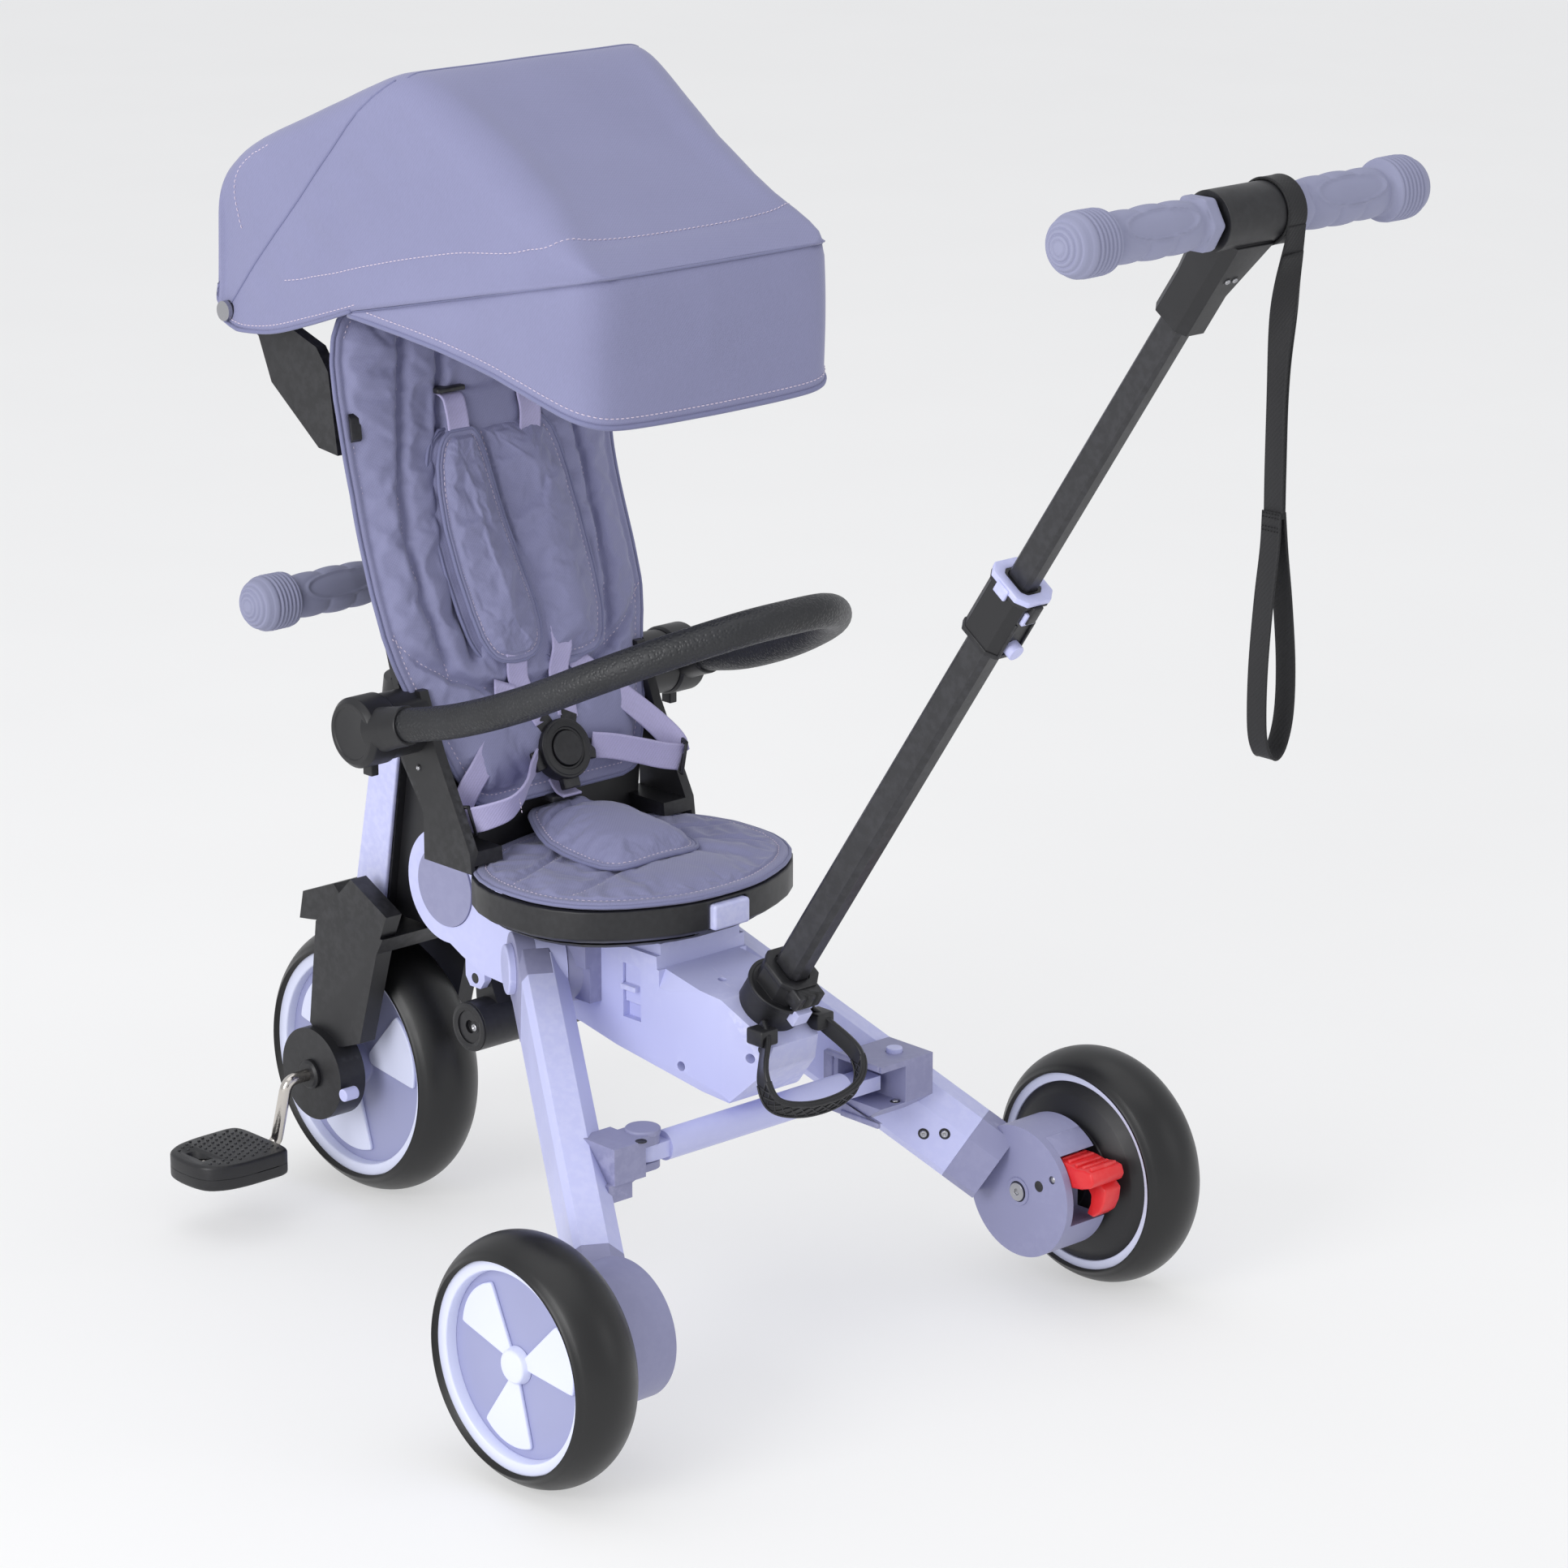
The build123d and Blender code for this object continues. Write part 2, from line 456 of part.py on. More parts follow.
BACK = [(284, 372), (301, 420), (319, 460), (331, 500), (345, 540), (358, 580), (367, 620), (373, 660), (379, 700), (384, 738)]
def strip_side(off0, off1, z_lo, z_hi):
    """Polygon of the back's side profile between two offsets towards +x."""
    lo = [(bx(z_lo) + off0, z_lo)] + [(x + off0, z) for x, z in BACK if z_lo < z < z_hi] + [(bx(z_hi) + off0, z_hi)]
    hi = [(bx(z_lo) + off1, z_lo)] + [(x + off1, z) for x, z in BACK if z_lo < z < z_hi] + [(bx(z_hi) + off1, z_hi)]
    return lo + hi[::-1]
def bx(z):
    for (x0, z0), (x1, z1) in zip(BACK[:-1], BACK[1:]):
        if z0 <= z <= z1:
            return x0 + (x1 - x0) * (z - z0) / (z1 - z0)
    return BACK[0][0] if z < BACK[0][1] else BACK[-1][0]
pad_front = [(-80, 372), (-97, 420), (-112, 460), (-123, 500), (-123, 600), (-126, 640), (-128, 670), (-124, 716), (-104, 738),
             (104, 738), (124, 716), (128, 670), (126, 640), (123, 600), (123, 500), (112, 460), (97, 420), (80, 372)]
back_pad = side(strip_side(4, 22, 372, 738), -140, 140) & front(pad_front, 200, 460)
put("back_pad", back_pad)

shell_front = [(-84, 336.5), (-92, 372), (-106, 420), (-108, 470), (-110, 700), (-92, 722), (92, 722), (110, 700), (108, 470),
               (106, 420), (92, 372), (84, 336.5)]
BACK_LOW = [(279, 336.5), (284, 372)]
shell = side(strip_side(22.4, 29, 372, 722), -140, 140) + side([(301, 336.5), (306.4, 372.2), (313, 372.2), (316, 336.5)], -140, 140)
shell = shell & front(shell_front, 200, 460)
for s in (1, -1):
    arm = side([(262, 336.5), (264, 352), (300, 420), (318, 462), (344, 462), (352, 440), (340, 405), (316, 372), (316, 336.5)], 100, 108)
    arm = arm + yrod(BAR_HUB_X, BAR_HUB_Z, 104, 133.5, 24.0)
    foot = side([(262, 336.5), (264, 352), (300, 352), (316, 352), (316, 336.5)], 78, 108)
    arm = arm + foot
    arm = arm if s > 0 else mirror_y(arm)
    shell = shell + arm
# base flange that carries the back, kept inside the swivel's swept circle
flange = top([(262, 90), (240, 116), (276, 90), (300, 60), (312, 30), (312, -30), (300, -60), (276, -90), (240, -116), (262, -90), (280, -40), (280, 40)], 334.0, 336.6)
flange = side([(250, 334.2), (250, 337), (316, 337), (316, 334.2)], -84, 84) & rod((SEAT_X, 0, 330), (0, 0, 1), 118.5, 10)
shell = shell + (flange - top(outline(-1.0), 300, 342.3))
shell = shell - back_pad
shell = shell - pad
shell = shell - yrod(BAR_HUB_X, BAR_HUB_Z, 120, 140, 8.0 + RUN) - yrod(BAR_HUB_X, BAR_HUB_Z, -140, -120, 8.0 + RUN)
put("seat_back", shell)

# shoulder pads and crotch pad
def on_back(off, thick, y0, y1, z0, z1):
    return side(strip_side(off - thick, off, z0, z1), y0, y1)
sp = on_back(3.5, 15, 9, 59, 478, 640)
pads = sp + mirror_y(sp)
crotch = side([(172, 342.5), (172, 352), (262, 360), (296, 372), (299, 362), (270, 342.5)], -36, 36)
pads = pads + crotch
put("harness_pads", pads)
straps = None
for s in (1, -1):
    a = on_back(3.6, 2.2, 24, 44, 641, 668)
    b = side([(bx(477) - 9, 477), (bx(477) - 6.5, 477), (306.5, 428), (304, 428)], 8, 28)
    c = strip([(292, 22, 402), (270, 62, 392), (262, 86, 378), (284, 92, 352)], 20, 2.2, (0, 0.25, 0.97))
    both = a + b + c
    both = both if s > 0 else mirror_y(both)
    straps = both if straps is None else straps + both
BK = (288.0, 0.0, 404.0)
BKN = unit((-0.93, 0.0, 0.36))
buckle = rod(along(BK, BKN, -6), BKN, 22.5, 13)
hole = rod(along(BK, BKN, 2), BKN, 13.3, 10)
buckle = buckle - hole
button = rod(along(BK, BKN, 4.5), BKN, 13.0, 4.0)
straps = straps - buckle - button - pads - back_pad - shell - pad
straps = straps - rod(along(BK, BKN, -8), BKN, 22.6, 20)
pads = pads - rod(along(BK, BKN, -8), BKN, 22.6, 20)
put("harness_pads", pads)
put("harness_straps", straps)
put("buckle", buckle)
put("buckle_button", button)

# =====================================================================
# Bumper bar and its release levers
# =====================================================================
def bar_half(s):
    pts = [(BAR_HUB_X - 12, s * 147, 440), (296, s * 145, 448), (240, s * 136, 462), (181, s * 127, 484), (128, s * 112, 509), (84, s * 82, 531), (52, s * 40, 547), (46, 0, 550)]
    return pts
pts = bar_half(1) + bar_half(-1)[::-1][1:]
bpath = Spline(*pts)
foam = sweep(Plane(origin=bpath @ 0, z_dir=bpath % 0) * Circle(12.5), path=bpath)
cups = None
for s in (1, -1):
    c = yrod(BAR_HUB_X, BAR_HUB_Z, 134.0, 161.0, 26.0) + yrod(BAR_HUB_X, BAR_HUB_Z, 120.5, 134.2, 8.0)
    c = c - block(BAR_HUB_X - 7.4, BAR_HUB_X + 7.4, 136.6, 150.4, BAR_HUB_Z - 40, BAR_HUB_Z - 14)
    c = c if s > 0 else mirror_y(c)
    cups = c if cups is None else cups + c
put("bumper_bar", foam + cups)
lever = block(BAR_HUB_X - 7, BAR_HUB_X + 7, 137, 150, BAR_HUB_Z - 25, BAR_HUB_Z - 14.4) + block(BAR_HUB_X - 5, BAR_HUB_X + 5, 140, 147, BAR_HUB_Z - 34, BAR_HUB_Z - 24)
lever_cut = block(BAR_HUB_X - 7.4, BAR_HUB_X + 7.4, 136.6, 150.4, BAR_HUB_Z - 40, BAR_HUB_Z - 10)
NODES["bumper_bar"] = NODES["bumper_bar"] - lever_cut - mirror_y(lever_cut)
put("bumper_lever_left", lever)
put("bumper_lever_right", mirror_y(lever))

# =====================================================================
# Canopy: arms on the back, bows, hood and front visor
# =====================================================================
arms = None
for s in (1, -1):
    a = side([(384, 625), (372, 640), (374, 655), (412, 702), (486, 726), (500, 726), (503, 712), (480, 700), (466, 668), (412, 628)], 112, 121)
    a = a + side([(384, 625), (376, 632), (384, 650), (400, 650), (404, 628)], 98, 112.2)
    a = a if s > 0 else mirror_y(a)
    arms = a if arms is None else arms + a
arms = arms - back_pad - shell
arms = arms - yrod(CANOPY_X, CANOPY_Z, -130, 130, 4.0 + RUN)
put("canopy_arms", arms)

HOOD = [(117, 791), (218, 855), (296, 902), (315, 908), (334, 906), (400, 878), (470, 846), (496, 836), (507, 818), (504, 742),
        (496, 707), (450, 706), (404, 722), (352, 739), (250, 764)]
def hood_solid(grow, inset):
    """Hood shape: lofted across the width, widest low down, narrower along the top."""
    secs = []
    for x, zt, zb, wt, wb in ((117, 790.5, 760, 115, 120), (150, 811, 760, 116, 124), (230, 862, 745, 117, 128),
                              (315, 908, 725, 119, 134), (400, 878, 712, 129, 138), (470, 847, 703, 138, 140), (506, 822, 703, 137, 137)):
        x2 = x
        top_z, bot_z = zt - inset, zb
        pts = [(-wb + inset, bot_z - 40), (-wb + inset, (bot_z + top_z) / 2), (-wt + inset, top_z - 12), (-wt + inset + 12, top_z),
               (wt - inset - 12, top_z), (wt - inset, top_z - 12), (wb - inset, (bot_z + top_z) / 2), (wb - inset, bot_z - 40)]
        pl = Plane(origin=(x2, 0, 0), x_dir=(0, 1, 0), z_dir=(1, 0, 0))
        secs.append(pl * make_face(Polyline(*pts, close=True)))
    return loft(secs, ruled=True)
hood_full = hood_solid(0, 0)
hood_in = hood_solid(0, 3.0) & block(120.5, 503, -200, 200, 600, 960)
hood = (hood_full - hood_in) & side(HOOD, -200, 200)
# rod end holes on the pivots
hood = hood - yrod(CANOPY_X, CANOPY_Z, -160, 160, 7.6)
VISOR = [(113.5, 690), (114.5, 760), (116.8, 790.6), (250, 763.4), (352, 738.4), (300, 731), (264, 725), (200, 708), (150, 694)]
vis_out = top([(113, -106), (113, 106), (122, 117), (150, 123.5), (352, 135.5), (352, -135.5), (150, -123.5), (122, -117)], 650, 850)
vis_in = top([(116, -105), (116, 105), (124, 114), (150, 120.5), (352.1, 132.5), (352.1, -132.5), (150, -120.5), (124, -114)], 640, 860)
visor = (vis_out - vis_in) & side(VISOR, -200, 200)
hood_cut = side([(100, 640), (100, 791.5), (116.9, 791.5), (250, 764.4), (352, 739.6), (352, 640)], -200, 200)
hood = hood - hood_cut
hood = hood - block(500, 510, -124, 124, 690, 742)
visor = visor - hood
put("canopy_visor", visor)
def bow(pts, r=4.0):
    path = FilletPolyline(*pts, radius=16)
    return sweep(Plane(origin=path @ 0, z_dir=path % 0) * Circle(r), path=path)
bow_top = bow([(CANOPY_X - 8, 129.5, CANOPY_Z + 8), (319, 103, 896), (319, -103, 896), (CANOPY_X - 8, -129.5, CANOPY_Z + 8)])
bow_back = bow([(CANOPY_X + 1, 129.5, CANOPY_Z + 10), (CANOPY_X + 1, 121, 806), (CANOPY_X + 1, -121, 806), (CANOPY_X + 1, -129.5, CANOPY_Z + 10)])
bow_front = bow([(CANOPY_X - 10, 129.5, CANOPY_Z + 2), (128, 97, 779), (128, -97, 779), (CANOPY_X - 10, -129.5, CANOPY_Z + 2)])
hubs = None
for s in (1, -1):
    h = yrod(CANOPY_X, CANOPY_Z, 124.0, 135.0, 13.0) + yrod(CANOPY_X, CANOPY_Z, 112.0, 124.1, 4.0) + yrod(CANOPY_X, CANOPY_Z, 135.0, 142.0, 7.4)
    h = h if s > 0 else mirror_y(h)
    hubs = h if hubs is None else hubs + h
bows = bow_top + bow_back + bow_front + hubs
bows = bows - (hood_full - hood_in)
hood = hood - hubs
put("canopy_bows", bows)
put("canopy_fabric", hood)

# =====================================================================
# Push bar: socket, telescoping tubes, clamp, head, grips, wrist strap
# =====================================================================
PL = Plane(origin=PUSH_BASE, x_dir=(math.cos(LEAN), 0, math.sin(LEAN)), z_dir=PD)


def tube_sec(a, b, c):
    s = Rectangle(a, b)
    return chamfer(s.vertices(), c)


def push(a, b, c, t0, t1):
    """Chamfered rectangular bar along the push bar's axis, a fore-aft and b across."""
    return PL * Pos(0, 0, t0) * extrude(tube_sec(a, b, c), amount=t1 - t0)


socket = rod(along(PUSH_BASE, PD, -42), PD, WELL_R, 62) + push(36, 34, 8, 20, 38)
socket = socket - push(24.0, 18.0, 3.6, -30, 60)
socket = socket - (PL * block(-60, -11, -7.4, 7.4, 8.5, 21.5))
put("pushbar_socket", socket)
put("socket_button", PL * block(-29.5, -19.5, -7, 7, 9, 21))
lower = push(24.0, 18.0, 3.6, -30, 405) - push(20.8, 14.8, 2.8, -26, 500)
put("pushbar_lower_tube", lower)
clamp = push(36, 30, 6, 376, 424) + push(39, 33, 6.5, 424, 431)
clamp = clamp - push(24.0, 18.0, 3.6, 370, 405) - push(20.8, 14.8, 2.8, 404, 440)
clamp = clamp - (PL * (rod((-30, 0, 386), (1, 0, 0), 6.3, 16.4)))
clamp = clamp - (PL * block(-20, -15, -9, 9, 426, 440))
put("pushbar_clamp", clamp)
put("clamp_button", PL * rod((-25.0, 0, 386), (1, 0, 0), 6.0, 8.6))
upper = push(20.2, 14.2, 2.6, 180, 722) - push(16.6, 10.6, 1.8, 176, 716)
put("pushbar_upper_tube", upper)
T = (-369.0, 0.0, 887.0)
head = push(32, 28, 6, 668, 700) + yrod(T[0], T[2], -32, 32, 19.5) + yrod(T[0], T[2], -142, 142, 10.5)
head = head + loft([PL * Pos(0, 0, 700) * tube_sec(32, 28, 6), PL * Pos(-3, 0, 748) * tube_sec(36, 44, 6)])
head = head - push(20.2, 14.2, 2.6, 600, 722)
put("pushbar_head", head)
gl = grip(T[0], T[2], 36, 142.7, 1) + grip(T[0], T[2], 36, 142.7, -1)
put("pushbar_grips", gl)
wrap = yrod(T[0], T[2], -35.8, -18.6, 21.5) - yrod(T[0], T[2], -60, -10, 19.5)
drop = strip([(-390.0 + 21, -33.4, 868), (-370, -34, 780), (-370.5, -34, 688)], 16.5, 3.0, (1, 0, 0))
loop = strip([(-370.5, -36, 692), (-371, -44, 640), (-371, -50, 590), (-371, -48, 552), (-371, -38, 533), (-371, -27, 534), (-371, -21, 556),
              (-371, -22, 600), (-371, -28, 650), (-370.5, -32, 690)], 16.5, 2.6, (1, 0, 0))
wrist = wrap + drop + loop + block(-379, -362, -38, -30.5, 682, 692)
wrist = wrist - head - gl
put("wrist_strap", wrist)

# =====================================================================
for name, shape in NODES.items():
    export_step(Pos(ORIGIN_SHIFT, 0, 0) * shape, "parts/" + name + ".step")
print(len(NODES), "nodes written")
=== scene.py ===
import bpy, bmesh, math, random, json
import numpy as np
from mathutils import Vector, Matrix, kdtree

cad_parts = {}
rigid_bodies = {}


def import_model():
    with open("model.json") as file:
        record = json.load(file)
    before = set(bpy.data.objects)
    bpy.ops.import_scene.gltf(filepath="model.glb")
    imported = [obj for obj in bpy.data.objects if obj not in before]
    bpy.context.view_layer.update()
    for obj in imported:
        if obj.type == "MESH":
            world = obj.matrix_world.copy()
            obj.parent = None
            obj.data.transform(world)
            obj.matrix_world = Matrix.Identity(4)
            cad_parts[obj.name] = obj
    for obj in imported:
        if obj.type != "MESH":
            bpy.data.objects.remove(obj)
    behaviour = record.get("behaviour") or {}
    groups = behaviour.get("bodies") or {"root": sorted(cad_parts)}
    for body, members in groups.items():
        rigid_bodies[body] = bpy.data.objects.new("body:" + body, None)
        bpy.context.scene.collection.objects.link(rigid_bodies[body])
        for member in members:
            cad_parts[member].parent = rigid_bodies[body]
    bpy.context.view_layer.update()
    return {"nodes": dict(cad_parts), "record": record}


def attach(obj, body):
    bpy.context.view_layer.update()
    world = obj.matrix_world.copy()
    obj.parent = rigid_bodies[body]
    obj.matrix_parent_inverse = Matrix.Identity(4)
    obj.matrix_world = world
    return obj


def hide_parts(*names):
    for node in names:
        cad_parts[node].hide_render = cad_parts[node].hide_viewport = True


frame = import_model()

SC = bpy.context.scene
SHX = -0.11705            # the CAD frame's shift along X, metres
NODES = frame["nodes"]
rnd = random.Random(7)


def P(x, y, z):
    return Vector((x * 0.001 + SHX, y * 0.001, z * 0.001))


# ------------------------------------------------------------------ materials
def srgb(r, g, b):
    def f(c):
        c /= 255.0
        return c / 12.92 if c <= 0.04045 else ((c + 0.055) / 1.055) ** 2.4
    return (f(r), f(g), f(b), 1.0)


def new_mat(name):
    m = bpy.data.materials.new(name)
    m.use_nodes = True
    nt = m.node_tree
    b = nt.nodes["Principled BSDF"]
    tc = nt.nodes.new("ShaderNodeTexCoord")
    return m, nt, b, tc.outputs["Object"]


def noise(nt, vec, scale, detail=4.0, rough=0.55):
    n = nt.nodes.new("ShaderNodeTexNoise")
    n.inputs["Scale"].default_value = scale
    n.inputs["Detail"].default_value = detail
    n.inputs["Roughness"].default_value = rough
    nt.links.new(vec, n.inputs["Vector"])
    return n.outputs["Fac"]


def ramp(nt, fac, stops):
    r = nt.nodes.new("ShaderNodeValToRGB")
    e = r.color_ramp.elements
    while len(e) < len(stops):
        e.new(0.5)
    for i, (p, c) in enumerate(stops):
        e[i].position = p
        e[i].color = c
    nt.links.new(fac, r.inputs["Fac"])
    return r.outputs["Color"]


def rng(nt, fac, a, b, lo=0.3, hi=0.7):
    m = nt.nodes.new("ShaderNodeMapRange")
    m.inputs["From Min"].default_value = lo
    m.inputs["From Max"].default_value = hi
    m.inputs["To Min"].default_value = a
    m.inputs["To Max"].default_value = b
    nt.links.new(fac, m.inputs["Value"])
    return m.outputs["Result"]


def math2(nt, op, a, b):
    m = nt.nodes.new("ShaderNodeMath")
    m.operation = op
    for i, v in enumerate((a, b)):
        if isinstance(v, (int, float)):
            m.inputs[i].default_value = v
        else:
            nt.links.new(v, m.inputs[i])
    return m.outputs[0]


def bump(nt, height, strength, dist, prev=None):
    b = nt.nodes.new("ShaderNodeBump")
    b.inputs["Strength"].default_value = strength
    b.inputs["Distance"].default_value = dist
    nt.links.new(height, b.inputs["Height"])
    if prev is not None:
        nt.links.new(prev, b.inputs["Normal"])
    return b.outputs["Normal"]


def shade(c, k):
    return (c[0] * k, c[1] * k, c[2] * k, 1.0)


def plastic(name, col, rough=0.38, grain=0.10, vary=0.04, spec=0.5, wear=None, coat=0.0, scale=2600.0):
    """Moulded plastic: fine eroded grain, slow tone change, roughness that varies, lighter worn edges where a wear
    colour is given.
    """
    m, nt, b, obj = new_mat(name)
    slow = noise(nt, obj, 9.0, 3.0)
    c = ramp(nt, slow, [(0.30, shade(col, 1 - vary)), (0.72, shade(col, 1 + vary))])
    if wear:
        g = nt.nodes.new("ShaderNodeNewGeometry")
        e = rng(nt, g.outputs["Pointiness"], 0.0, 1.0, 0.53, 0.62)
        e = math2(nt, "MULTIPLY", e, rng(nt, noise(nt, obj, 160.0, 5.0), 0.0, 1.0, 0.42, 0.62))
        mix = nt.nodes.new("ShaderNodeMix")
        mix.data_type = "RGBA"
        nt.links.new(e, mix.inputs[0])
        nt.links.new(c, mix.inputs[6])
        mix.inputs[7].default_value = wear
        c = mix.outputs[2]
    nt.links.new(c, b.inputs["Base Color"])
    nt.links.new(rng(nt, noise(nt, obj, 35.0, 6.0), rough - 0.05, rough + 0.06), b.inputs["Roughness"])
    n = bump(nt, noise(nt, obj, scale, 2.0), grain, 0.0002)
    n = bump(nt, noise(nt, obj, 22.0, 2.0), 0.06, 0.002, n)
    nt.links.new(n, b.inputs["Normal"])
    b.inputs["Specular IOR Level"].default_value = spec
    b.inputs["Coat Weight"].default_value = coat
    b.inputs["Coat Roughness"].default_value = 0.25
    return m


def wave(nt, vec, scale, direction="DIAGONAL", dist=0.0, profile="SIN"):
    w = nt.nodes.new("ShaderNodeTexWave")
    w.wave_type = "BANDS"
    w.bands_direction = direction
    w.wave_profile = profile
    w.inputs["Scale"].default_value = scale
    w.inputs["Distortion"].default_value = dist
    w.inputs["Detail"].default_value = 1.0
    nt.links.new(vec, w.inputs["Vector"])
    return w.outputs["Fac"]


def mapped(nt, vec, rot=(0, 0, 0), scl=(1, 1, 1)):
    m = nt.nodes.new("ShaderNodeMapping")
    m.inputs["Rotation"].default_value = rot
    m.inputs["Scale"].default_value = scl
    nt.links.new(vec, m.inputs["Vector"])
    return m.outputs["Vector"]


def cloth(name, col, pitch=1.3, sheen=0.25, rough=0.72, var=0.07, rib=0.35):
    """Woven twill: fine diagonal ribs crossed by yarns, mottled yarn tone, soft sheen."""
    m, nt, b, obj = new_mat(name)
    k = 6.2832 / (pitch * 0.001) / 20.0
    tw = wave(nt, mapped(nt, obj, rot=(0.35, 0.2, 0.3)), k, "DIAGONAL", 0.4)
    yn = wave(nt, mapped(nt, obj, rot=(0.1, 0.9, 0.8)), k * 1.35, "Z", 0.5)
    weave = math2(nt, "ADD", math2(nt, "MULTIPLY", tw, 0.65), math2(nt, "MULTIPLY", yn, 0.35))
    yarn = noise(nt, mapped(nt, obj, rot=(0.35, 0.2, 0.3), scl=(1, 1, 0.25)), 900.0, 3.0)
    slow = noise(nt, obj, 14.0, 4.0)
    tone = math2(nt, "ADD", math2(nt, "MULTIPLY", yarn, 0.45), math2(nt, "ADD", math2(nt, "MULTIPLY", slow, 0.35), math2(nt, "MULTIPLY", weave, 0.20)))
    c = ramp(nt, tone, [(0.30, shade(col, 1 - var)), (0.68, shade(col, 1 + var))])
    nt.links.new(c, b.inputs["Base Color"])
    nt.links.new(rng(nt, yarn, rough - 0.06, rough + 0.08), b.inputs["Roughness"])
    n = bump(nt, weave, rib, 0.00025)
    n = bump(nt, noise(nt, obj, 60.0, 3.0), 0.12, 0.0012, n)
    nt.links.new(n, b.inputs["Normal"])
    b.inputs["Sheen Weight"].default_value = sheen
    b.inputs["Sheen Roughness"].default_value = 0.4
    b.inputs["Specular IOR Level"].default_value = 0.35
    return m


LILAC = srgb(193, 196, 237)
GREYL = srgb(141, 142, 176)
WHEEL = srgb(154, 157, 194)
FANC = srgb(220, 224, 248)
M = {}
M["lilac"] = plastic("lilac_plastic", LILAC, 0.36, wear=srgb(214, 216, 246))
M["grey"] = plastic("grey_lilac_plastic", GREYL, 0.44, grain=0.16, wear=srgb(160, 160, 192))
M["black"] = plastic("black_plastic", srgb(27, 27, 30), 0.42, grain=0.22, vary=0.10, wear=srgb(58, 58, 62))
M["blacktube"] = plastic("black_anodised_tube", srgb(30, 30, 34), 0.40, grain=0.12, vary=0.08, spec=0.6, wear=srgb(66, 66, 72))
M["disc"] = plastic("wheel_disc_plastic", WHEEL, 0.40, grain=0.10)
M["fan"] = plastic("wheel_fan_plastic", FANC, 0.34, grain=0.08)
M["red"] = plastic("red_plastic", srgb(222, 44, 48), 0.30, grain=0.06, wear=srgb(235, 90, 90))
M["tyre"] = plastic("tyre_rubber", srgb(22, 22, 23), 0.37, grain=0.20, vary=0.12, spec=0.5, scale=1700.0)
M["grip"] = plastic("grip_rubber", srgb(145, 147, 174), 0.62, grain=0.25, vary=0.05, spec=0.35, wear=srgb(168, 170, 194))
M["fabric"] = cloth("twill_fabric", srgb(136, 137, 171))
M["fabric2"] = cloth("edge_binding_fabric", srgb(124, 126, 161), pitch=1.0, var=0.06)
M["web"] = cloth("lilac_webbing", srgb(176, 171, 209), pitch=1.6, sheen=0.15, rough=0.46, var=0.08, rib=0.5)
M["webblack"] = cloth("black_webbing", srgb(34, 34, 36), pitch=1.6, sheen=0.06, rough=0.62, var=0.25, rib=0.6)
M["thread"] = cloth("pale_thread", srgb(208, 196, 214), pitch=0.5, sheen=0.2, rough=0.6, var=0.06)
M["thread2"] = cloth("blue_grey_thread", srgb(158, 160, 196), pitch=0.5, sheen=0.2, rough=0.6, var=0.06)
M["threadb"] = cloth("dark_thread", srgb(20, 20, 22), pitch=0.5, sheen=0.1, rough=0.6, var=0.06)


def metal(name, col, rough, brushed=False):
    m, nt, b, obj = new_mat(name)
    c = ramp(nt, noise(nt, obj, 30.0, 5.0), [(0.3, shade(col, 0.93)), (0.7, shade(col, 1.05))])
    nt.links.new(c, b.inputs["Base Color"])
    v = mapped(nt, obj, scl=(1, 0.03, 1)) if brushed else obj
    nt.links.new(rng(nt, noise(nt, v, 700.0, 4.0), rough - 0.04, rough + 0.08), b.inputs["Roughness"])
    nt.links.new(bump(nt, noise(nt, v, 900.0, 3.0), 0.06, 0.0002), b.inputs["Normal"])
    b.inputs["Metallic"].default_value = 1.0
    return m


M["steel"] = metal("zinc_steel", srgb(176, 176, 180), 0.34, True)
M["chrome"] = metal("chrome_plate", srgb(205, 200, 194), 0.14)


def foam_mat():
    m, nt, b, obj = new_mat("pebbled_foam")
    v = nt.nodes.new("ShaderNodeTexVoronoi")
    v.feature = "F1"
    v.inputs["Scale"].default_value = 430.0
    nt.links.new(obj, v.inputs["Vector"])
    dots = rng(nt, v.outputs["Distance"], 0.0, 1.0, 0.10, 0.62)
    c = ramp(nt, noise(nt, obj, 18.0, 4.0), [(0.3, srgb(26, 27, 30)), (0.7, srgb(40, 41, 45))])
    nt.links.new(c, b.inputs["Base Color"])
    nt.links.new(rng(nt, dots, 0.30, 0.52, 0.0, 1.0), b.inputs["Roughness"])
    n = bump(nt, dots, 0.55, 0.0006)
    nt.links.new(bump(nt, noise(nt, obj, 1500.0, 2.0), 0.10, 0.0002, n), b.inputs["Normal"])
    return m


M["foam"] = foam_mat()


def mesh_fabric():
    m, nt, b, obj = new_mat("black_net_fabric")
    v = nt.nodes.new("ShaderNodeTexVoronoi")
    v.feature = "DISTANCE_TO_EDGE"
    v.inputs["Scale"].default_value = 520.0
    nt.links.new(obj, v.inputs["Vector"])
    c = ramp(nt, v.outputs["Distance"], [(0.05, srgb(60, 60, 66)), (0.25, srgb(14, 14, 15))])
    nt.links.new(c, b.inputs["Base Color"])
    nt.links.new(bump(nt, v.outputs["Distance"], 0.6, 0.0004), b.inputs["Normal"])
    b.inputs["Roughness"].default_value = 0.8
    return m


M["net"] = mesh_fabric()


